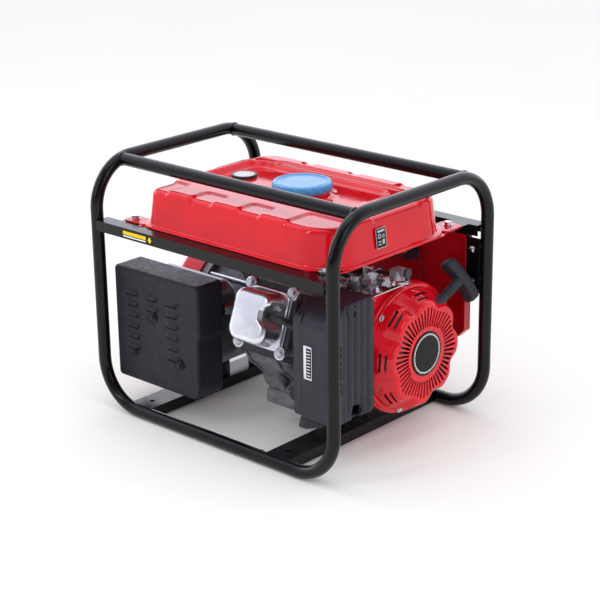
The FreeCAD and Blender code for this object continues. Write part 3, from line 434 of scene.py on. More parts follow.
ROPE_AXIS = Vector((0, 0.92, 0.39)).normalized()


def rope_mouth():
    """Where the starter rope leaves its guide in the recoil cover."""
    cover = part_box("recoil_cover")[1]
    crank = Vector(joint("crank_spin")["pos_m"])
    return Vector((cover.x - 0.016, crank.y + 0.058, crank.z + 0.065))


# ---------------------------------------------------------------- shapes
def join_rings(bm, rings, looped):
    """Quads between rings with the same number of points; looped joins the last ring to the first."""
    made = [[bm.verts.new(p) for p in ring] for ring in rings]
    for a, b in zip(made, made[1:] + made[:1] if looped else made[1:]):
        for i in range(len(a)):
            j = (i + 1) % len(a)
            bm.faces.new((a[i], a[j], b[j], b[i]))
    return made


def bridge(bm, rings):
    """Closed body through rings of places, capped at both ends."""
    made = join_rings(bm, rings, False)
    bm.faces.new(list(reversed(made[0])))
    bm.faces.new(made[-1])


def across(axis):
    """Two directions square to an axis."""
    axis = axis.normalized()
    side = axis.cross(Z if abs(axis.z) < 0.9 else X).normalized()
    return side, axis.cross(side)


def turner(centre, axis, change):
    """Gives spot(turn, along, radius) round an axis; change(turn, along, radius) may move a point."""
    side, up = across(axis)

    def spot(turn, along, radius):
        a, r = change(turn, along, radius) if change else (along, radius)
        return centre + axis * a + (side * math.cos(turn) + up * math.sin(turn)) * r

    return spot


def lathe(bm, centre, axis, profile, steps=64, change=None):
    """Closed body of revolution from (along, radius) pairs."""
    spot = turner(centre, axis, change)
    bridge(bm, [[spot(2 * math.pi * i / steps, along, radius) for i in range(steps)]
                for along, radius in profile])


def lathe_shell(bm, centre, axis, profile, steps=96, change=None):
    """Ring of revolution: the profile is a closed loop of (along, radius) pairs."""
    spot = turner(centre, axis, change)
    join_rings(bm, [[spot(2 * math.pi * i / steps, along, radius) for along, radius in profile]
                    for i in range(steps)], True)


def outline(x0, x1, y0, y1, radii, steps=14, along=24):
    """Points round a rectangle with round corners, front left first, the same number for any size."""
    bends = ((x0, y0, 1, 1), (x1, y0, -1, 1), (x1, y1, -1, -1), (x0, y1, 1, -1))
    points = []
    for k, (cx, cy, sx, sy) in enumerate(bends):
        r = max(radii[k], 0.0002)
        mx, my = cx + sx * r, cy + sy * r
        first = math.pi * (1 + 0.5 * k)
        for i in range(steps + 1):
            turn = first + 0.5 * math.pi * i / steps
            points.append((mx + r * math.cos(turn), my + r * math.sin(turn)))
        nx, ny, tx, ty = bends[(k + 1) % 4]
        nr = max(radii[(k + 1) % 4], 0.0002)
        turn = first + 0.5 * math.pi
        ex, ey = nx + tx * nr + nr * math.cos(turn), ny + ty * nr + nr * math.sin(turn)
        px, py = points[-1]
        for i in range(1, along):
            points.append((px + (ex - px) * i / along, py + (ey - py) * i / along))
    return points


def distance(x, y, box, r):
    """How far outside a round-cornered rectangle a point is; negative inside."""
    x0, x1, y0, y1 = box
    qx = abs(x - (x0 + x1) / 2) - (x1 - x0) / 2 + r
    qy = abs(y - (y0 + y1) / 2) - (y1 - y0) / 2 + r
    return math.hypot(max(qx, 0), max(qy, 0)) + min(max(qx, qy), 0) - r


def smooth_step(value, low, high):
    t = min(max((value - low) / (high - low), 0.0), 1.0)
    return t * t * (3 - 2 * t)


def to_object(name, bm):
    """Turns a bmesh into an object, with its faces turned outwards."""
    bmesh.ops.recalc_face_normals(bm, faces=bm.faces)
    data = bpy.data.meshes.new(name)
    bm.to_mesh(data)
    bm.free()
    made = bpy.data.objects.new(name, data)
    bpy.context.scene.collection.objects.link(made)
    return made


def piece(name, bm, finishes, body, replaced=(), sharp=40):
    """Turns a bmesh into a finished piece, smooth between faces under the sharp angle in degrees."""
    made = to_object(name, bm)
    for finish in finishes:
        made.data.materials.append(MATERIALS[finish])
    made.data.shade_smooth()
    made.data.set_sharp_from_angle(angle=math.radians(sharp))
    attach(made, body)
    if replaced:
        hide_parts(*replaced)


def tube(name, points, diameter, finish, body):
    """Round wire or hose along a smooth line through given points."""
    data = bpy.data.curves.new(name, "CURVE")
    data.dimensions = "3D"
    data.bevel_depth = diameter / 2
    data.bevel_resolution = 5
    data.resolution_u = 12
    data.use_fill_caps = True
    line = data.splines.new("NURBS")
    line.points.add(len(points) - 1)
    for point, place in zip(line.points, points):
        point.co = (*place, 1.0)
    line.order_u = 3
    line.use_endpoint_u = True
    data.materials.append(MATERIALS[finish])
    made = bpy.data.objects.new(name, data)
    bpy.context.scene.collection.objects.link(made)
    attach(made, body)


def finish_new(bm, before, finish):
    """Gives the faces that are not among the ones before the finish with this number."""
    for face in bm.faces:
        if face not in before:
            face.material_index = finish


def slab(bm, centre, right, up, wide, tall, thick, r=0.001, finish=0, steps=4):
    """Thin plate with round corners, standing on a plane; centre is on that plane."""
    out = right.cross(up).normalized()
    points = outline(-wide / 2, wide / 2, -tall / 2, tall / 2, (r, r, r, r), steps, 2)
    rings = [[centre + right * x * k + up * y * k + out * h for x, y in points]
             for k, h in ((1.0, 0.0), (1.0, thick * 0.8), (1 - 0.3 * thick / wide, thick))]
    before = set(bm.faces)
    bridge(bm, rings)
    finish_new(bm, before, finish)


def hexagon(turn=0.0):
    """Corners of a hexagon whose corners are 1 from its middle."""
    return [(math.cos(math.pi / 3 * i + turn), math.sin(math.pi / 3 * i + turn)) for i in range(6)]


def crown(bm, place, bounds, radii, deep, fillet, height, step=0.002, draft=0.0, hollow=0.0, along=60):
    """Pressed or moulded box: walls, a rounded edge and a top whose relief is height(u, v).

    place(u, v, h) gives the spot for a point h above the top's plane."""
    u0, u1, v0, v1 = bounds

    def ring(inset, drop=0.0, share=1.0):
        """Points round the box at this inset: this share of the relief, less the drop."""
        r = [max(c - inset, 0.0003) for c in radii]
        points = outline(u0 + inset, u1 - inset, v0 + inset, v1 - inset, r, 14, along)
        return [place(u, v, height(u, v) * share - drop) for u, v in points]

    rings = []
    if hollow:
        rings += [ring(draft + hollow, fillet + hollow, 0.0), ring(hollow, deep, 0.0)]
    rings.append(ring(0.0, deep, 0.0))
    for i in range(1, 7):
        rings.append(ring(draft * i / 6, deep - (deep - fillet) * i / 6, 0.0))
    for i in range(1, 9):
        turn = math.pi / 2 * i / 8
        inset, drop = draft + fillet * (1 - math.cos(turn)), fillet * (1 - math.sin(turn))
        rings.append(ring(inset, drop, math.sin(turn)))
    inset = draft + fillet
    half = min(u1 - u0, v1 - v0) / 2
    while inset < half - step:
        inset += step
        rings.append(ring(min(inset, half - 0.0004)))
    bridge(bm, rings)


def carve(bm, cutter):
    """Takes the cutter's closed bodies out of the mesh with an exact boolean."""
    body, tool = to_object("carved", bm), to_object("cutter", cutter)
    cut = body.modifiers.new("cut", "BOOLEAN")
    cut.object, cut.operation, cut.solver = tool, "DIFFERENCE", "EXACT"
    bpy.context.view_layer.update()
    result = bmesh.new()
    result.from_mesh(body.evaluated_get(bpy.context.evaluated_depsgraph_get()).to_mesh())
    for used in (body, tool):
        data = used.data
        bpy.data.objects.remove(used)
        bpy.data.meshes.remove(data)
    return result


def bar(bm, centre, right, up, out, wide, tall, deep):
    """Box-shaped cutter round a centre."""
    square = [(-1, -1), (1, -1), (1, 1), (-1, 1)]
    bridge(bm, [[centre + right * (x * wide / 2) + up * (y * tall / 2) + out * (h * deep / 2)
                 for x, y in square] for h in (-1, 1)])


# ---------------------------------------------------------------- operators
FLOOR_HALF = 60.0
# name, place, width and height in metres, watts
LAMPS = (("front_strip", (-0.5, -2.3, 1.6), 0.4, 1.8, 11), ("side_box", (2.5, -0.2, 1.5), 0.9, 1.4, 9),
         ("top_box", (0.3, -0.3, 2.8), 1.6, 1.2, 8), ("left_strip", (-2.2, -0.6, 1.0), 0.4, 1.4, 6))
CAMERA_TURN_RISE_ROLL = (42.47, 19.61, -0.79)
CAMERA_AWAY = 2.516
CAMERA_AIM_HEIGHT, CAMERA_AIM_RIGHT, CAMERA_AIM_DOWN = 0.1789, 0.0129, 0.0019
CAMERA_LENS, CAMERA_SENSOR = 101.69, 36.0


class MakeStage(bpy.types.Operator):
    """Pale floor, soft lamps and the camera"""
    bl_idname = "generator.stage"
    bl_label = "Stage, lamps and camera"

    def execute(self, context):
        scene = context.scene
        scene.view_settings.view_transform = "Standard"
        bm = bmesh.new()
        bmesh.ops.create_grid(bm, x_segments=1, y_segments=1, size=FLOOR_HALF)
        data = bpy.data.meshes.new("floor")
        bm.to_mesh(data)
        bm.free()
        floor = bpy.data.objects.new("floor", data)
        data.materials.append(studio_paper("studio_paper", linear("#f6f6f6")))
        scene.collection.objects.link(floor)
        world = bpy.data.worlds.new("studio")
        world.use_nodes = True
        self.light_world(world.node_tree)
        scene.world = world
        low, high = CAD_BOX
        middle = (low + high) / 2
        for name, place, wide, tall, power in LAMPS:
            lamp = bpy.data.lights.new(name, "AREA")
            lamp.shape = "RECTANGLE"
            lamp.size, lamp.size_y, lamp.energy = wide, tall, power
            made = bpy.data.objects.new(name, lamp)
            made.location = place
            made.rotation_euler = (middle - Vector(place)).to_track_quat("-Z", "Y").to_euler()
            scene.collection.objects.link(made)
        self.place_camera(scene)
        return {"FINISHED"}

    def place_camera(self, scene):
        """Camera that looks slightly down on the front right corner."""
        turn, rise, roll = (math.radians(angle) for angle in CAMERA_TURN_RISE_ROLL)
        back = Vector((math.sin(turn) * math.cos(rise), -math.cos(turn) * math.cos(rise), math.sin(rise)))
        level = Vector((math.cos(turn), math.sin(turn), 0))
        upright = back.cross(level)
        right = level * math.cos(roll) + upright * math.sin(roll)
        up = upright * math.cos(roll) - level * math.sin(roll)
        aim = Z * CAMERA_AIM_HEIGHT + right * CAMERA_AIM_RIGHT - up * CAMERA_AIM_DOWN
        lens = bpy.data.cameras.new("camera")
        lens.lens, lens.sensor_width = CAMERA_LENS, CAMERA_SENSOR
        camera = bpy.data.objects.new("camera", lens)
        camera.matrix_world = Matrix.Translation(aim + back * CAMERA_AWAY) @ Matrix(
            (right, up, back)).transposed().to_4x4()
        scene.collection.objects.link(camera)
        scene.camera = camera

    def light_world(self, tree):
        """White light all round; what is mirrored is bright at the back left, dim at the front right."""
        tree.nodes.clear()
        sky = add_node(tree, "ShaderNodeTexCoord").outputs["Generated"]
        facing = add_node(tree, "ShaderNodeVectorMath", {1: (-0.675, 0.738, 0.0)}, {0: sky},
                          operation="DOT_PRODUCT").outputs["Value"]
        shine = add_node(tree, "ShaderNodeMapRange", {"From Min": -0.7, "From Max": 0.9, "To Min": 0.22,
                                                      "To Max": 2.3}, {"Value": facing},
                         interpolation_type="SMOOTHSTEP").outputs["Result"]
        ray = add_node(tree, "ShaderNodeLightPath").outputs["Is Glossy Ray"]
        level = add_node(tree, "ShaderNodeMix", {2: 1.0}, {0: ray, 3: shine}).outputs[0]
        tint = add_node(tree, "ShaderNodeMix", {6: (1.0, 1.0, 1.0, 1.0), 7: (0.90, 0.90, 1.0, 1.0)}, {0: ray},
                        data_type="RGBA").outputs[2]
        glow = add_node(tree, "ShaderNodeBackground", None, {"Color": tint, "Strength": level})
        add_node(tree, "ShaderNodeOutputWorld", links={"Surface": glow.outputs["Background"]})


class FinishFrame(bpy.types.Operator):
    """Real finishes on the parts that are kept as they are"""
    bl_idname = "generator.finishes"
    bl_label = "Finishes of the kept parts"

    def execute(self, context):
        make_finishes(context.scene.generator_colours)
        for finish, nodes in NODE_FINISH.items():
            for node in nodes:
                data = frame["nodes"][node].data
                data.materials.clear()
                data.materials.append(MATERIALS[finish])
        return {"FINISHED"}


class MakeTank(bpy.types.Operator):
    """Pressed top half of the fuel tank with its bays, recess, neck and ears"""
    bl_idname = "generator.tank"
    bl_label = "Fuel tank top"

    def execute(self, context):
        sizes = context.scene.generator_sizes
        low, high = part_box("fuel_tank_upper")
        neck_stand, lip, draft, recess_deep = 0.002, 0.0026, 0.0056, 0.008
        top = high.z - neck_stand
        floor_z = top - recess_deep
        base = low.z + lip
        filler = Vector(joint("cap_turn")["pos_m"])
        wall_low, wall_high = level_box("fuel_tank_upper", low.z + 0.004, top - 0.006)
        lean = draft * 0.15
        bounds = (wall_low.x - lean, wall_high.x + lean, wall_low.y - lean, wall_high.y + lean)
        height = self.top_relief(sizes, top, floor_z, filler)

        def ring(inset, z=None):
            r = [max(c - inset, 0.0004) for c in (0.022, 0.057, 0.057, 0.040)]
            points = outline(bounds[0] + inset, bounds[1] - inset, bounds[2] + inset, bounds[3] - inset,
                             r, 18, 100)
            return [Vector((x, y, height(x, y) if z is None else z)) for x, y in points]

        fillet, lip_reach, lip_edge, foot = sizes.tank_fillet, 0.008, 0.0006, 0.0032
        rings = [ring(0.004, low.z), ring(-0.9 * lip_reach, low.z), ring(-lip_reach, low.z + lip_edge),
                 ring(-lip_reach, base - lip_edge), ring(-0.9 * lip_reach, base), ring(-foot, base)]
        for i in range(1, 6):
            turn = math.pi / 2 * i / 5
            rings.append(ring(-foot + foot * math.sin(turn), base + foot * (1 - math.cos(turn))))
        wall_top = top - fillet
        for i in range(1, 9):
            rings.append(ring(draft * i / 8, base + foot + (wall_top - base - foot) * i / 8))
        for i in range(1, 10):
            turn = math.pi / 2 * i / 9
            crest = ring(draft + fillet * (1 - math.cos(turn)))
            drop = fillet * (1 - math.sin(turn))
            rings.append([Vector((p.x, p.y, p.z - drop)) for p in crest])
        inset, step = draft + fillet, 0.002
        half = (bounds[3] - bounds[2]) / 2
        while inset < half - step:
            inset += step
            rings.append(ring(min(inset, half - 0.0006)))
        bm = bmesh.new()
        bridge(bm, rings)
        self.make_ears(bm, low.z, base)
        neck = Vector((filler.x, filler.y, floor_z - 0.001))
        tall = high.z - neck.z
        bore, rim, root, under = 0.0300, 0.0400, 0.0420, -0.03
        lathe_shell(bm, neck, Z, [(under, bore + 0.0015), (under, bore), (tall - 0.0006, bore),
                                  (tall, bore + 0.0006), (tall, rim - 0.0006), (tall - 0.0006, rim),
                                  (0.004, rim), (0.001, rim + 0.0008), (-0.001, root), (under, root)])
        piece("tank_top", bm, ["red_enamel"], "generator", ["fuel_tank_upper"], 50)
        return {"FINISHED"}

    def top_relief(self, sizes, top, floor_z, filler):
        """Height of the top: bays and ledge, the recess round the filler, a ridge and the neck's seat."""
        recess = (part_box("fuel_gauge")[0].x - 0.012, 0.138, -0.072, 0.066)
        ledge = (recess[0] + 0.03, recess[1] + 0.014, 0.0, recess[3] + 0.018)
        ridge = (-0.1375, -0.1305, -0.075, 0.062)
        # left, right, front and back of each bay; those that run past the edge are open there
        bays = [(-0.061, -0.019, -0.2, -0.106), (0.030, 0.072, -0.2, -0.106), (0.121, 0.3, -0.2, -0.090),
                (-0.3, -0.108, -0.2, -0.096), (0.176, 0.3, -0.052, 0.052), (-0.062, -0.046, 0.092, 0.3),
                (0.029, 0.045, 0.094, 0.3), (0.125, 0.3, 0.086, 0.3)]
        neck_hole, seat_start, seat_end = 0.033, 0.040, 0.052

        def height(x, y):
            inside = distance(x, y, recess, 0.022)
            z = top
            bay = min(distance(x, y, box, 0.006) for box in bays)
            z -= sizes.bay_depth * (1 - smooth_step(bay, -0.0025, 0.0025))
            z -= sizes.ledge_step * (1 - smooth_step(distance(x, y, ledge, 0.012), -0.003, 0.003))
            z = z + (floor_z - z) * (1 - smooth_step(inside, -0.004, 0.005))
            if inside > 0.002:
                z += 0.0022 * (1 - smooth_step(distance(x, y, ridge, 0.003), -0.002, 0.004))
            away = math.hypot(x - filler.x, y - filler.y)
            if away < neck_hole:
                return top - 0.045
            if away < seat_end:
                z += 0.0035 * (1 - smooth_step(away, seat_start, seat_end))
            return z

        return height

    def make_ears(self, bm, low, high):
        """Tabs under the tank bolts, joined to the lip."""
        inset = 0.0001
        for corner, other in clusters("tank_bolts"):
            bolt = (corner + other) / 2
            left = bolt.x < 0
            if not left and bolt.y < 0:
                continue
            x0, x1 = (bolt.x - 0.013, bolt.x + 0.032) if left else (bolt.x - 0.018, bolt.x + 0.018)
            y0, y1 = bolt.y - (0.013 if left else 0.026), bolt.y + 0.013
            points = outline(x0, x1, y0, y1, (0.007,) * 4, 6, 2)
            bridge(bm, [[Vector((x, y, z)) for x, y in points] for z in (low + inset, high - inset)])


class MakeCap(bpy.types.Operator):
    """Fuel cap under its blue film"""
    bl_idname = "generator.cap"
    bl_label = "Fuel cap"

    def execute(self, context):
        low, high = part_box("fuel_cap")
        centre = Vector(((low.x + high.x) / 2, (low.y + high.y) / 2, low.z))
        tall, r = high.z - low.z, (high.x - low.x) / 2
        fold_deep = 0.0009

        def crinkle(turn, along, radius):
            """Creases of the film: round the skirt and, more faintly, over the top."""
            if along < tall * 0.12 or radius < r * 0.3:
                return along, radius
            spot = Vector((math.cos(turn) * 9, math.sin(turn) * 9, along * 160))
            fold = noise.noise(spot) * fold_deep + noise.noise(spot * 3.1) * 0.0005
            ripple = noise.noise(Vector((math.cos(turn) * 2.4, math.sin(turn) * 2.4, radius * 60)))
            side = smooth_step(radius, r * 0.86, r * 0.97)
            lift = 0.0004 * ripple * (1 - side)
            sag = abs(lift) + 0.0003 * side * abs(fold / fold_deep)
            return along - sag, radius - side * (0.0007 + fold)

        profile = [(0.0004, r * 0.93), (0.0, r * 0.955), (0.0015, r * 0.985), (tall * 0.3, r),
                   (tall * 0.5, r), (tall * 0.68, r * 0.995), (tall * 0.82, r * 0.985),
                   (tall * 0.92, r * 0.968),
                   (tall * 0.98, r * 0.94), (tall, r * 0.905), (tall, r * 0.87), (tall * 0.97, r * 0.845),
                   (tall * 0.9, r * 0.83), (tall * 0.86, r * 0.81), (tall * 0.85, r * 0.6),
                   (tall * 0.86, r * 0.3), (tall * 0.87, r * 0.05)]
        bm = bmesh.new()
        lathe(bm, centre, Z, profile, 256, crinkle)
        piece("fuel_cap_film", bm, ["film"], "cap", ["fuel_cap"], 60)
        return {"FINISHED"}


class MakeLabels(bpy.types.Operator):
    """Stuck-on labels with plain bars in place of print"""
    bl_idname = "generator.labels"
    bl_label = "Labels"

    def execute(self, context):
        thick = context.scene.generator_sizes.label_thick
        self.rail_label(thick)
        tank_low, tank_high = level_box("fuel_tank_upper", 0.31, 0.352)
        self.side_label(thick, tank_high)
        self.edge_label(thick, tank_low, tank_high)
        return {"FINISHED"}

    def rail_label(self, thick):
        """Black label on the front rail: a yellow bar, a white bar and an arrow that points down."""
        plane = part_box("tank_rail_front")[0].y
        print_plane = plane - thick * 0.5
        bm = bmesh.new()
        slab(bm, Vector((-0.134, plane, 0.2905)), X, Z, 0.066, 0.0105, thick * 0.5, 0.001, 0)
        slab(bm, Vector((-0.141, print_plane, 0.2922)), X, Z, 0.048, 0.0052, thick * 0.4, 0.0003, 1)
        slab(bm, Vector((-0.141, print_plane, 0.2872)), X, Z, 0.048, 0.0018, thick * 0.4, 0.0002, 2)
        arrow = [(-0.0045, 0.001), (-0.002, 0.001), (-0.002, 0.0045), (0.002, 0.0045), (0.002, 0.001),
                 (0.0045, 0.001), (0.0, -0.0045)]
        before = set(bm.faces)
        bridge(bm, [[Vector((-0.109 + x, plane - h, 0.2903 + z)) for x, z in arrow]
                    for h in (thick * 0.5, thick * 0.9)])
        finish_new(bm, before, 1)
        piece("rail_label", bm, ["black_print", "yellow_print", "white_print"], "generator")

    def side_label(self, thick, tank_high):
        """Black label with a silver border on the tank's sloping end, with bars and a ring for its signs."""
        up = (Z - X * 0.105).normalized()
        centre = Vector((tank_high.x + 0.0009, -0.0425, 0.3260))
        out = Y.cross(up).normalized()
        ink = centre + out * thick * 1.4
        ink_thick = thick * 0.3
        bm = bmesh.new()
        slab(bm, centre, Y, up, 0.0215, 0.0285, thick, 0.0022, 1)
        slab(bm, centre + out * thick, Y, up, 0.0198, 0.0268, thick * 0.4, 0.0017, 0)
        slab(bm, ink + up * 0.0098, Y, up, 0.0150, 0.0030, ink_thick, 0.0005, 1)
        # across, up, width and height of each sign
        signs = ((-0.0035, 0.0030, 0.0060, 0.0060), (0.0045, 0.0034, 0.0052, 0.0014),
                 (0.0045, 0.0008, 0.0052, 0.0014), (-0.0035, -0.0048, 0.0060, 0.0016),
                 (0.0045, -0.0060, 0.0046, 0.0066), (-0.0035, -0.0088, 0.0060, 0.0016))
        for dx, dy, wide, tall in signs:
            slab(bm, ink + Y * dx + up * dy, Y, up, wide, tall, ink_thick, 0.0004, 1)
        ring = ink + Y * signs[0][0] + up * signs[0][1] + out * ink_thick
        slab(bm, ring, Y, up, 0.0034, 0.0034, ink_thick, 0.0016, 0)
        piece("tank_side_label", bm, ["black_print", "silver_print"], "generator")

    def edge_label(self, thick, tank_low, tank_high):
        """Silver label over the rounded left edge: a black bar above a yellow and a white one."""
        left = Y * -1
        lean = Vector((0.82, 0, 0.57)).normalized()
        edge = Vector((tank_low.x + 0.0050, 0.021, tank_high.z + 0.0022))
        top_side = edge + left.cross(lean).normalized() * thick * 2
        bm = bmesh.new()
        slab(bm, edge, left, lean, 0.060, 0.0150, thick * 2, 0.001, 0)
        slab(bm, top_side + lean * 0.0035, left, lean, 0.056, 0.0050, thick * 0.4, 0.0004, 1)
        slab(bm, top_side - lean * 0.0025 + Y * 0.012, left, lean, 0.024, 0.0050, thick * 0.4, 0.0004, 2)
        slab(bm, top_side - lean * 0.0025 - Y * 0.014, left, lean, 0.022, 0.0050, thick * 0.4, 0.0004, 3)
        piece("tank_edge_label", bm, ["silver_print", "black_print", "yellow_print", "white_print"],
              "generator")


class MakeValveCover(bpy.types.Operator):
    """Deep drawn valve cover with its lip and bolt ears"""
    bl_idname = "generator.valve_cover"
    bl_label = "Valve cover"

    def execute(self, context):
        spots = [(a + b) / 2 for a, b in clusters("valve_cover_bolts", 0.028)]
        middle = sum(spots, Vector()) / len(spots)
        spots.sort(key=lambda p: p.z)
        up = spots[2] + spots[3] - spots[0] - spots[1]
        up = Vector((0, up.y, up.z)).normalized()
        out = X.cross(up).normalized()
        seat = max((v.co - middle).dot(out) for v in frame["nodes"]["valve_cover_gasket"].data.vertices)
        base = middle + out * seat
        half_x = (spots[1] - spots[0]).length / 2
        half_y = (spots[2] - spots[0]).dot(up) / 2
        top = max((v.co - base).dot(out) for v in frame["nodes"]["valve_cover"].data.vertices)

        def spot(u, v, h):
            return base + X * u + up * v + out * h

        def flat(u, v):
            return 0.0

        def rectangle(inset):
            return (-half_x + inset, half_x - inset, -half_y + inset, half_y - inset)

        bm = bmesh.new()
        lip, shoulder = 0.0022, 0.0062
        crown(bm, lambda u, v, h: spot(u, v, h + lip), (-half_x - 0.001, half_x + 0.001, -half_y, half_y),
              (0.010,) * 4, lip, 0.0008, flat, 0.01)
        crown(bm, lambda u, v, h: spot(u, v, h + shoulder), rectangle(0.0005), (0.014,) * 4, 0.006, 0.0016,
              flat, 0.01)
        ear = [(0.0, 0.0098), (0.0036, 0.0098), (0.0044, 0.0090), (0.0044, 0.0080), (0.0036, 0.0072),
               (0.0036, 0.0032), (0.0, 0.0032)]
        for sx in (-1, 1):
            for sy in (-1, 1):
                lathe_shell(bm, spot(sx * half_x, sy * half_y, 0.0), out, ear, 40)

        def dome(u, v, h):
            """Walls lean in, and the side towards the air cleaner is drawn in for the breather."""
            level = (h + top) / top
            pull = smooth_step(u, 0.014, 0.033) * smooth_step(level, 0.12, 0.5)
            pull *= 1 - smooth_step(abs(v - 0.006), 0.006, 0.020)
            return spot(u - 0.012 * pull, v, h + top)

        def crest(u, v):
            return 0.0014 * (1 - (u / 0.034) ** 2) * (1 - (v / 0.036) ** 2) - 0.0014

        crown(bm, dome, rectangle(0.0030), (0.021,) * 4, top - 0.0055, 0.0085, crest, 0.003, 0.0020)
        piece("valve_cover_pressing", bm, ["chrome"], "generator", ["valve_cover"], 50)
        return {"FINISHED"}


class MakeRecoil(bpy.types.Operator):
    """Recoil starter cover with its lobes, cooling slots and badge"""
    bl_idname = "generator.recoil"
    bl_label = "Recoil starter cover"

    def execute(self, context):
        low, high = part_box("recoil_cover")
        crank = Vector(joint("crank_spin")["pos_m"])
        centre = Vector((low.x, crank.y, crank.z))
        deep = high.x - low.x
        lobes, phase, wall = 8, 0.6, 0.0022
        side, up = across(X)

        def lobed(turn, along, radius):
            """Eight lobes with narrow flutes between them, deepest on the shoulder."""
            around = side * math.cos(turn) + up * math.sin(turn)
            angle = math.atan2(around.z, around.y)
            wave = 0.5 + 0.5 * math.cos(lobes * angle + phase)
            flat = 1 - (1 - wave) ** 1.9
            level = along / deep
            depth = 0.0095 * smooth_step(level, 0.06, 0.42) if radius > 0.055 else 0.0
            if level > 0.9:
                depth *= smooth_step(radius, 0.050, 0.0718)
            return along, radius - depth * (1 - flat)

        outer = [(0.0, 0.0955), (0.002, 0.0955), (0.0024, 0.0905), (0.004, 0.0898), (0.009, 0.0893),
                 (0.0135, 0.0887), (0.0160, 0.0872), (0.0175, 0.0857), (0.021, 0.0835), (0.0245, 0.0812),
                 (0.0280, 0.0790), (0.0303, 0.0775), (0.0318, 0.0758), (0.0327, 0.0740), (deep, 0.0718),
                 (deep, 0.0690), (deep, 0.0655), (deep, 0.060), (deep, 0.052), (deep, 0.044), (deep, 0.036),
                 (deep, 0.034), (deep, 0.003)]
        inner = [(max(a - (wall if a > 0.02 else 0.0), 0.0), r - (wall if r > 0.07 else 0.0))
                 for a, r in outer[3:]]
        bm = bmesh.new()
        lathe_shell(bm, centre, X, outer + list(reversed(inner)), 240, lobed)
        cutter = bmesh.new()
        fins, slot_wide, slot_deep = 52, 0.0034, 0.012
        for i in range(fins):
            angle = 2 * math.pi * (i + 0.5) / fins
            reach = 0.0655 + 0.0028 * math.cos(lobes * angle + phase)
            start_r = 0.0395 if math.cos(angle - 2.3) > 0.1 else 0.0425
            out = Vector((0, math.cos(angle), math.sin(angle)))
            bar(cutter, centre + X * deep + out * (start_r + reach) / 2, X.cross(out), out, X, slot_wide,
                reach - start_r, slot_deep)
        bm = carve(bm, cutter)
        cutter = bmesh.new()
        for k in range(lobes):
            angle = (2 * math.pi * k - phase) / lobes
            out = Vector((0, math.cos(angle), math.sin(angle)))
            slope = (X * 0.55 - out * 0.45).normalized()
            normal = slope.cross(X.cross(out))
            for along, radius in ((0.0172, 0.0855), (0.0242, 0.0810)):
                bar(cutter, centre + X * along + out * radius, X.cross(out), slope, normal, 0.028, slot_wide,
                    0.008)
        bm = carve(bm, cutter)
        # painted shade: a thin black sheet close inside the shell, behind its slots, so that the slots read
        # dark
        slot_shade_sheet = bmesh.new()
        inside = [(0.0100, 0.0840), (0.0165, 0.0820), (0.0210, 0.0790), (0.0245, 0.0765), (0.0268, 0.0735),
                  (0.0280, 0.0690), (0.0280, 0.0470), (0.0272, 0.0470), (0.0272, 0.0690), (0.0240, 0.0740),
                  (0.0160, 0.0790), (0.0100, 0.0820)]
        lathe_shell(slot_shade_sheet, centre, X, inside, 240, lobed)
        piece("recoil_slot_shade_sheet", slot_shade_sheet, ["plastic"], "generator")
        piece("recoil_shell", bm, ["red_enamel"], "generator", ["recoil_cover"], 35)
        self.rope_guide()
        self.badge(crank)
        return {"FINISHED"}

    def rope_guide(self):
        """Tapered bush that the rope runs through."""
        bm = bmesh.new()
        long, bore = 0.024, 0.0032
        lathe_shell(bm, rope_mouth() - ROPE_AXIS * long, ROPE_AXIS,
                    [(0.0, 0.0095), (0.018, 0.0088), (0.0225, 0.0085), (long, 0.0075), (long, 0.0040),
                     (0.022, bore), (0.0, bore)], 40)
        piece("rope_guide", bm, ["plastic"], "generator")

    def badge(self, crank):
        """Plain black disc with a thick and a thin white ring."""
        low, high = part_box("recoil_badge")
        r, thick = (high.y - low.y) / 2, high.x - low.x
        seat = Vector((low.x, crank.y, crank.z))
        face, under, proud = thick * 0.9, thick * 0.88, thick * 0.98
        bm = bmesh.new()
        lathe(bm, seat, X, [(0.0, r), (thick * 0.5, r), (thick * 0.85, r * 0.985), (face, r * 0.96),
                            (face, r * 0.5), (face, 0.0005)], 96)
        before = set(bm.faces)
        for share, wide in ((0.86, 0.0009), (0.90, 0.0004)):
            outside = r * share
            lathe_shell(bm, seat, X, [(under, outside), (proud, outside), (proud, outside - wide),
                                      (under, outside - wide)], 96)
        finish_new(bm, before, 1)
        piece("recoil_badge_disc", bm, ["black_print", "white_print"], "generator",
              ["recoil_badge"])


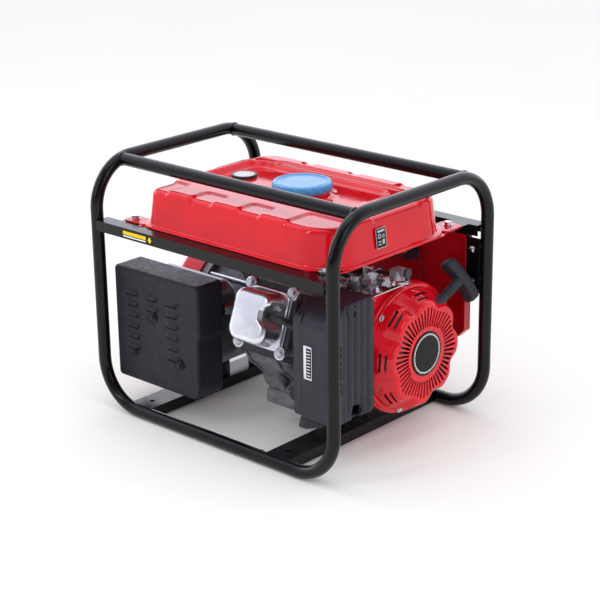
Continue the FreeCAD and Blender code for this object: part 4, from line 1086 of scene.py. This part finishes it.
class MakeGuard(bpy.types.Operator):
    """Pressed muffler guard with louvres and dimples"""
    bl_idname = "generator.guard"
    bl_label = "Muffler guard"

    def execute(self, context):
        low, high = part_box("muffler_guard")
        screws = [(a + b) / 2 for a, b in clusters("small_screws", 0.02) if (a.x + b.x) / 2 < high.x]
        face_y = low.y + 0.0021
        # middles of the louvres, in three columns
        louvres = []
        for x, rows in ((0.038, 6), (0.080, 2), (0.122, 6)):
            louvres += [(low.x + x, high.z - 0.036 - 0.017 * row) for row in range(rows)]

        def relief_at(u, v):
            """Louvres that rise to an abrupt right end, and a dimple under each screw."""
            h = 0.0
            for x, z in louvres:
                du, dv = u - x, z - v
                if abs(du) < 0.016 and abs(dv) < 0.009:
                    ends = smooth_step(du, -0.0140, -0.0040) * (1 - smooth_step(du, 0.0112, 0.0130))
                    rise = smooth_step(dv, -0.0060, 0.0024) * (1 - smooth_step(dv, 0.0026, 0.0042))
                    h += 0.0040 * ends * rise
            for screw in screws:
                away = math.hypot(u - screw.x, v - screw.z)
                h -= 0.0022 * (1 - smooth_step(away, 0.006, 0.013))
            return h

        def spot(u, v, h):
            """The right wall is set in along its lower part."""
            inward = smooth_step(u, high.x - 0.010, high.x)
            inward *= 1 - smooth_step(v, low.z + 0.088, low.z + 0.104)
            return Vector((u - 0.0035 * inward, face_y - h, v))

        bm = bmesh.new()
        bounds = (low.x, high.x, low.z, high.z)
        crown(bm, spot, bounds, (0.007, 0.020, 0.007, 0.007), high.y - face_y, 0.0045, relief_at, 0.0015, 0.0,
              0.0012, 110)
        cutter = bmesh.new()
        for x, z in louvres:
            bar(cutter, Vector((x - 0.0005, face_y, z - 0.0052)), X, Z, Y, 0.022, 0.0016, 0.007)
        bm = carve(bm, cutter)
        piece("guard_pressing", bm, ["guard"], "generator", ["muffler_guard"], 50)
        return {"FINISHED"}


class MakeScrews(bpy.types.Operator):
    """Flanged hexagon screws: black ones on the muffler guard, plated ones elsewhere"""
    bl_idname = "generator.screws"
    bl_label = "Small screws"

    def execute(self, context):
        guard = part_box("muffler_guard")[1]
        black, plated_ones = bmesh.new(), bmesh.new()
        for low, high in clusters("small_screws", 0.02):
            middle = (low + high) / 2
            on_guard = middle.x < guard.x
            spread = high - low
            axis = X if spread.x > spread.y and not on_guard else Vector((0, -1, 0))
            if not on_guard and spread.z > max(spread.x, spread.y):
                axis = Z
            head = middle + axis * (abs(spread.dot(axis)) / 2)
            target = black if on_guard else plated_ones
            tall, shank, across_corners = 0.0036, 0.0026, 0.0046
            lathe(target, head - axis * tall, axis, [(-0.004, shank), (0.0, shank), (0.0, 0.0062),
                                                     (0.0007, 0.0064), (0.0012, 0.0050)], 32)
            side, up = across(axis)
            sections = ((0.0008, across_corners), (0.0032, across_corners), (tall, 0.0040))
            bridge(target, [[head + axis * (h - tall) + (side * x + up * y) * r for x, y in hexagon()]
                            for h, r in sections])
        piece("guard_screws", black, ["guard"], "generator", ["small_screws"])
        piece("plated_screws", plated_ones, ["zinc"], "generator")
        return {"FINISHED"}


class MakeCleaner(bpy.types.Operator):
    """Moulded air cleaner cover with flutes, intake holes, strip and loop"""
    bl_idname = "generator.cleaner"
    bl_label = "Air cleaner cover"

    def execute(self, context):
        low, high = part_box("air_cleaner_cover")
        crest = 0.019

        def spot(u, v, h):
            """The top falls away towards the front."""
            fall = 1 - smooth_step(u, low.y - 0.004, low.y + 0.040)
            scale = 1 - fall * crest / (high.z - low.z)
            return Vector((high.x + h, u, low.z + (v - low.z) * scale))

        ridge_pitch, first = 0.0135, low.y + 0.022
        arch = Vector((-0.098, low.z + 0.010))

        def relief_at(u, v):
            """Upright flutes behind a plain front band, and a shallow arch low down."""
            fade = smooth_step(u, first - 0.004, first + 0.012)
            wave = 0.5 - 0.5 * math.cos(2 * math.pi * (u - first) / ridge_pitch)
            h = -0.0036 * fade * (1 - wave ** 0.5)
            away = math.hypot(u - arch.x, max(v - arch.y, 0.0))
            h -= 0.002 * (1 - smooth_step(away, 0.0125, 0.0175))
            return h - 0.001 * (1 - fade)

        bm = bmesh.new()
        crown(bm, spot, (low.y, high.y, low.z, high.z), (0.009, 0.009, 0.012, 0.016), high.x - low.x, 0.007,
              relief_at, 0.0014, 0.001, 0.0022, 120)
        cutter = bmesh.new()
        for i in range(7):
            centre = Vector((high.x, low.y + 0.0175, low.z + 0.052 + 0.0104 * i))
            bar(cutter, centre, Y, Z, X, 0.0065, 0.0072, 0.016)
        lathe(cutter, Vector((high.x, arch.x, arch.y)), X,
              [(-0.010, 0.0004), (-0.010, 0.0110), (0.004, 0.0125), (0.004, 0.0004)], 40)
        bm = carve(bm, cutter)
        piece("cleaner_shell", bm, ["plastic"], "cleaner_cover", ["air_cleaner_cover"],
              45)
        self.strip(low, high)
        drop = [(-0.1190, 0.2440), (-0.1165, 0.2360), (-0.1120, 0.2285), (-0.1050, 0.2270), (-0.1010, 0.2315),
                (-0.0985, 0.2345), (-0.1010, 0.2370), (-0.1060, 0.2425), (-0.1120, 0.2460), (-0.1190, 0.2440)]
        tube("cleaner_loop", [Vector((high.x + 0.0002 - 0.0006, y, z)) for y, z in drop], 0.0022, "rubber",
             "cleaner_cover")
        return {"FINISHED"}

    def strip(self, low, high):
        """Bright strip on the front with a black panel and nine bars."""
        bars, pitch = 9, 0.0045
        strip = Vector(((low.x + high.x) / 2 - 0.0155, low.y + 0.0002, low.z + 0.0895))
        aside = X * 0.0022
        bm = bmesh.new()
        slab(bm, strip, X, Z, 0.0150, 0.049, 0.0012, 0.0015, 0)
        slab(bm, strip - Y * 0.0012 + aside, X, Z, 0.0085, 0.043, 0.0005, 0.0005, 1)
        for i in range(bars):
            slab(bm, strip - Y * 0.0016 + aside + Z * (0.018 - pitch * i), X, Z, 0.0060, 0.0014, 0.0004,
                 0.0002, 0)
        piece("cleaner_strip", bm, ["chrome", "black_print"], "cleaner_cover")


class MakeHandle(bpy.types.Operator):
    """Moulded pull handle: an arched grip on a tapered stem"""
    bl_idname = "generator.handle"
    bl_label = "Pull handle"

    def execute(self, context):
        axis, mouth = ROPE_AXIS, rope_mouth()
        lean = Vector((0.46, 0.35, -0.82)).normalized()
        lean = (lean - axis * lean.dot(axis)).normalized()
        wide = axis.cross(lean)
        half, half_wide, square = 0.037, 0.0118, 0.45

        def rounded(value):
            """Power that turns a circle's ordinate into that of a rounded square."""
            return abs(value) ** square * (1 if value > 0 else -1)

        rings = []
        for i in range(33):
            t = -1 + 2 * i / 32
            end = math.sqrt(max(1 - abs(t) ** 14, 0.02))
            half_deep = 0.0088 + 0.0012 * t * t
            centre = mouth + axis * (0.0465 - 0.005 * t * t) + lean * (half * t)
            ring = []
            for k in range(28):
                a = 2 * math.pi * k / 28
                ring.append(centre + wide * rounded(math.cos(a)) * half_wide * end
                            + axis * rounded(math.sin(a)) * half_deep * end)
            rings.append(ring)
        bm = bmesh.new()
        bridge(bm, rings)
        stem, bore = 0.039, 0.0024
        lathe_shell(bm, mouth + axis * 0.0006, axis, [(0.0, 0.0058), (0.004, 0.0062), (0.020, 0.0070),
                    (0.030, 0.0080), (stem, 0.0092), (stem, bore), (0.0, bore)], 40)
        for k in range(3):
            collar = 0.0076 + 0.0003 * k
            lathe_shell(bm, mouth + axis * (0.006 + 0.006 * k), axis,
                        [(0.0, 0.0060), (0.0008, collar), (0.0020, collar), (0.0028, 0.0060)], 40)
        piece("pull_grip", bm, ["grip"], "starter_handle", ["pull_handle"], 45)
        return {"FINISHED"}


class MakeCasting(bpy.types.Operator):
    """Cast underside of the barrel, running down into the crankcase, with its ribs"""
    bl_idname = "generator.barrel"
    bl_label = "Barrel casting"

    def execute(self, context):
        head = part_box("cylinder_head")
        left, right = head[0].x + 0.010, head[1].x - 0.004
        section = [(-0.116, 0.136), (-0.106, 0.118), (-0.092, 0.106), (-0.078, 0.088), (-0.071, 0.066),
                   (-0.040, 0.062), (-0.020, 0.100), (-0.030, 0.140), (-0.075, 0.150)]
        middle = Vector((0, -0.062, 0.105))
        bm = bmesh.new()
        rings = []
        for x, scale in ((left, 0.72), (left + 0.003, 0.86), (left + 0.008, 0.95), (left + 0.016, 1.0),
                         (right - 0.016, 1.0), (right - 0.008, 0.95), (right - 0.003, 0.86), (right, 0.72)):
            rings.append([Vector((x, middle.y + (y - middle.y) * scale, middle.z + (z - middle.z) * scale))
                          for y, z in section])
        bridge(bm, rings)
        bmesh.ops.subdivide_edges(bm, edges=bm.edges, cuts=2, use_grid_fill=True, smooth=0.6)
        rib = [(-0.118, 0.134), (-0.107, 0.115), (-0.092, 0.103), (-0.080, 0.090), (-0.080, 0.140)]
        half_rib = 0.002
        for x in (left + 0.012, right - 0.014):
            bridge(bm, [[Vector((x + dx, y, z)) for y, z in rib] for dx in (-half_rib, half_rib)])
        boss, boss_r, boss_tall = Vector((right - 0.030, -0.085, 0.093)), 0.010, 0.013
        lathe(bm, boss, Vector((0, -0.8, -0.6)),
              [(0.0, boss_r), (0.012, boss_r), (boss_tall, 0.009), (boss_tall, 0.0005)], 32)
        piece("barrel_casting", bm, ["casting"], "generator", (), 35)
        return {"FINISHED"}


class MakeWelds(bpy.types.Operator):
    """Weld beads where the frame's tubes and rails meet"""
    bl_idname = "generator.welds"
    bl_label = "Weld beads"

    def execute(self, context):
        thick = context.scene.generator_sizes.bead
        random.seed(7)
        low, high = CAD_BOX
        bm = bmesh.new()
        tube_r, root, around, over = 0.0095, 0.0008, 72, 8
        hoop_proud, rail_proud = 0.0006, 0.0014
        rail_low, rail_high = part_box("top_rails")
        seams = []
        for y in (low.y + tube_r, high.y - tube_r):
            seams.append((Vector((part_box("frame_hoop_right")[0].x, y, tube_r)), hoop_proud, thick))
        for y in (rail_low.y + tube_r, rail_high.y - tube_r):
            for x in (rail_low.x + 0.0055, rail_high.x - 0.0055):
                seams.append((Vector((x, y, rail_high.z - tube_r)), rail_proud, thick * 1.5))
        for centre, proud, half_wide in seams:
            rings = []
            for i in range(around):
                turn = 2 * math.pi * i / around
                bump = proud * (0.75 + 0.25 * math.sin(turn * 18)) + 0.0002 * random.random()
                out = Vector((0, math.cos(turn), math.sin(turn)))
                ring = []
                for k in range(over):
                    a = math.pi * k / (over - 1)
                    spot = centre + out * (tube_r - root + (bump + root) * math.sin(a))
                    spot += X * (half_wide * math.cos(a))
                    spot.y = min(max(spot.y, low.y), high.y)
                    spot.z = min(max(spot.z, low.z), high.z)
                    ring.append(spot)
                rings.append(ring)
            join_rings(bm, rings, True)
        piece("weld_beads", bm, ["frame_enamel"], "generator")
        return {"FINISHED"}


class MakeWiring(bpy.types.Operator):
    """Ignition lead, panel wires, governor rod and spring"""
    bl_idname = "generator.wiring"
    bl_label = "Leads, rod and spring"

    def execute(self, context):
        sizes = context.scene.generator_sizes
        cap_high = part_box("spark_plug_cap")[1]
        plate_low, plate_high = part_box("control_plate")
        carb_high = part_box("carburettor")[1]
        end = Vector((cap_high.x - 0.002, cap_high.y - 0.004, cap_high.z - 0.012))
        tube("ignition_lead", [end, end + Vector((0.018, 0.014, 0.0)), Vector((0.060, -0.030, 0.252)),
                               Vector((0.105, -0.010, 0.250)), Vector((0.130, 0.010, 0.225))],
             sizes.lead, "rubber", "generator")
        back_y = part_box("control_panel")[0].y - 0.001
        bunch = Vector((0.118, back_y - 0.004, 0.245))
        wires = (("black_wire", 0.010), ("black_wire", 0.018), ("yellow_wire", 0.014), ("red_wire", 0.022))
        for i, (finish, sag) in enumerate(wires):
            away = Vector((0.0, -0.002 * i, 0.003 * i))
            tube(f"panel_wire_{i + 1}", [bunch + away, bunch + Vector((-0.022, -0.006 - 0.004 * i, -sag)),
                                         bunch + Vector((-0.060, -0.018, 0.004 - sag)),
                                         Vector((0.020 + 0.012 * i, 0.118, 0.236)),
                                         Vector((-0.020, 0.098, 0.205)), Vector((-0.060, 0.085, 0.198))],
                 sizes.wire, finish, "generator")
        tube("panel_wire_5", [bunch, bunch + Vector((0.020, -0.012, -0.030)),
                              bunch + Vector((0.022, -0.010, -0.066)),
                              Vector((0.142, back_y - 0.003, 0.156))],
             sizes.wire, "black_wire", "generator")
        rod_start = Vector((carb_high.x - 0.008, carb_high.y - 0.006, carb_high.z + 0.001))
        rod_end = Vector((plate_low.x + 0.012, plate_low.y + 0.012, plate_high.z - 0.003))
        tube("governor_rod", [rod_start, rod_start + Vector((0.004, 0.004, 0.010)),
                              rod_end + Vector((-0.006, -0.004, 0.006)), rod_end],
             0.0020, "zinc", "generator")
        self.spring("governor_spring", rod_start + Vector((0.006, 0.002, 0.006)),
                    rod_end + Vector((0.002, -0.006, 0.004)), 0.0024, 15)
        return {"FINISHED"}

    def spring(self, name, first, last, r, turns):
        """Close-wound tension spring: a wire along a helix."""
        side, up = across((last - first).normalized())
        points, per_turn = [], 12
        count = turns * per_turn
        for i in range(count + 1):
            turn = 2 * math.pi * i / per_turn
            points.append(first + (last - first) * (i / count)
                          + (side * math.cos(turn) + up * math.sin(turn)) * r)
        tube(name, points, 0.0009, "zinc", "generator")


class MakeGovernor(bpy.types.Operator):
    """Nuts, studs, bracket and clamp of the engine's speed control"""
    bl_idname = "generator.governor"
    bl_label = "Speed control hardware"

    def execute(self, context):
        plate_low, plate_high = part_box("control_plate")
        lever_low, lever_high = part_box("throttle_lever")
        top = plate_low.z + 0.0060
        bm = bmesh.new()
        # place and radius of each nut and its stud
        nuts = ((plate_low.x + 0.010, plate_low.y + 0.010, 0.0052),
                (plate_high.x - 0.008, plate_low.y + 0.014, 0.0045),
                (plate_low.x + 0.016, plate_high.y - 0.010, 0.0052))
        for x, y, r in nuts:
            foot = Vector((x, y, top + 0.0015))
            lathe(bm, foot, Z, [(0.0, r * 1.5), (0.0010, r * 1.5), (0.0012, r * 1.35), (0.0012, 0.0005)], 32)
            bridge(bm, [[foot + Vector((a * k, b * k, h)) for a, b in hexagon(x * 40)]
                        for h, k in ((0.001, r), (0.0048, r), (0.0055, r * 0.88))])
            lathe(bm, foot, Z, [(0.0, r * 0.5), (0.0085, r * 0.5), (0.0090, r * 0.42), (0.0090, 0.0004)], 24)
        clamp = Vector((plate_low.x + 0.004, plate_low.y - 0.004, top + 0.004))
        facing, sheet = Vector((0.8, 0.6, 0)), 0.0018
        slab(bm, clamp, facing, Z, 0.026, 0.020, sheet, 0.004)
        slab(bm, clamp + Vector((0.016, 0.004, 0.004)), facing, Z, 0.010, 0.028, sheet, 0.003)
        for dx, dz, r in ((0.0, 0.001, 0.0046), (0.014, 0.010, 0.0036)):
            lathe(bm, clamp + Vector((dx, dx * 0.6 - 0.001, dz)), Vector((0.6, -0.8, 0)),
                  [(0.0, r), (0.003, r), (0.0042, r * 0.7), (0.0042, 0.0004)], 6 if r > 0.004 else 24)
        rod = Vector((lever_high.x + 0.0015, lever_high.y + 0.001, lever_low.z + 0.015))
        sleeve = Vector((0.85, 0.5, 0.1))
        rods = ((rod, Vector((0.93, 0.36, 0)), 0.018, 0.0016),
                (rod + Vector((0.030, 0.0, -0.004)), sleeve, 0.020, 0.0030),
                (rod + Vector((0.026, -0.002, -0.004)), sleeve, 0.005, 0.0048))
        for foot, axis, length, r in rods:
            lathe(bm, foot, axis.normalized(), [(0.0, 0.0004), (0.0, r * 0.8), (r * 0.3, r), (length, r),
                                                (length + r * 0.3, r * 0.8), (length + r * 0.3, 0.0004)], 24)
        piece("speed_control", bm, ["zinc"], "generator")
        return {"FINISHED"}


class MakeRope(bpy.types.Operator):
    """Braided rope between its guide and the pull handle"""
    bl_idname = "generator.rope"
    bl_label = "Starter rope"

    def execute(self, context):
        r = context.scene.generator_sizes.rope / 2
        low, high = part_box("starter_rope")
        length, inside, outside = 0.070, 0.042, 0.027
        slide = Vector(joint("handle_pull")["axis"]).normalized()
        first = (low + high) / 2 - ROPE_AXIS * length / 2
        mouth = first + ROPE_AXIS * inside
        last = mouth + ROPE_AXIS * outside
        rings = []
        count = 120
        for i in range(count + 1):
            t = i / count
            mix = smooth_step(t, 0.52, 0.62)
            facing = (ROPE_AXIS * (1 - mix) + slide * mix).normalized()
            side, up = across(facing)
            centre = first + (last - first) * t
            rings.append([centre + (side * math.cos(a) + up * math.sin(a)) * r
                          for a in (2 * math.pi * k / 16 for k in range(16))])
        bm = bmesh.new()
        bridge(bm, rings)
        made = to_object("starter_rope_braid", bm)
        made.data.shade_smooth()
        made.data.materials.append(MATERIALS["rope"])
        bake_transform(made)
        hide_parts("starter_rope")
        return {"FINISHED"}


OPERATORS = (MakeStage, FinishFrame, MakeTank, MakeCap, MakeValveCover, MakeRecoil, MakeGuard, MakeScrews,
             MakeCleaner, MakeHandle, MakeRope, MakeCasting, MakeWelds, MakeWiring, MakeGovernor, MakeLabels)


class GeneratorPanel(bpy.types.Panel):
    """Lists the pieces and their sizes and colours"""
    bl_idname = "VIEW3D_PT_generator"
    bl_label = "Portable generator"
    bl_space_type = "VIEW_3D"
    bl_region_type = "UI"
    bl_category = "Generator"

    def draw(self, context):
        layout = self.layout
        for group in (context.scene.generator_sizes, context.scene.generator_colours):
            for name in group.__annotations__:
                layout.prop(group, name)
        for operator in OPERATORS:
            layout.operator(operator.bl_idname)


CLASSES = (GeneratorColours, GeneratorSizes, *OPERATORS, GeneratorPanel)


def register():
    for cls in CLASSES:
        bpy.utils.register_class(cls)
    bpy.types.Scene.generator_colours = PointerProperty(type=GeneratorColours)
    bpy.types.Scene.generator_sizes = PointerProperty(type=GeneratorSizes)


def unregister():
    del bpy.types.Scene.generator_sizes
    del bpy.types.Scene.generator_colours
    for cls in reversed(CLASSES):
        bpy.utils.unregister_class(cls)


def main():
    register()
    for operator in OPERATORS:
        group, name = operator.bl_idname.split(".")
        getattr(getattr(bpy.ops, group), name)()


if __name__ == "__main__":
    main()
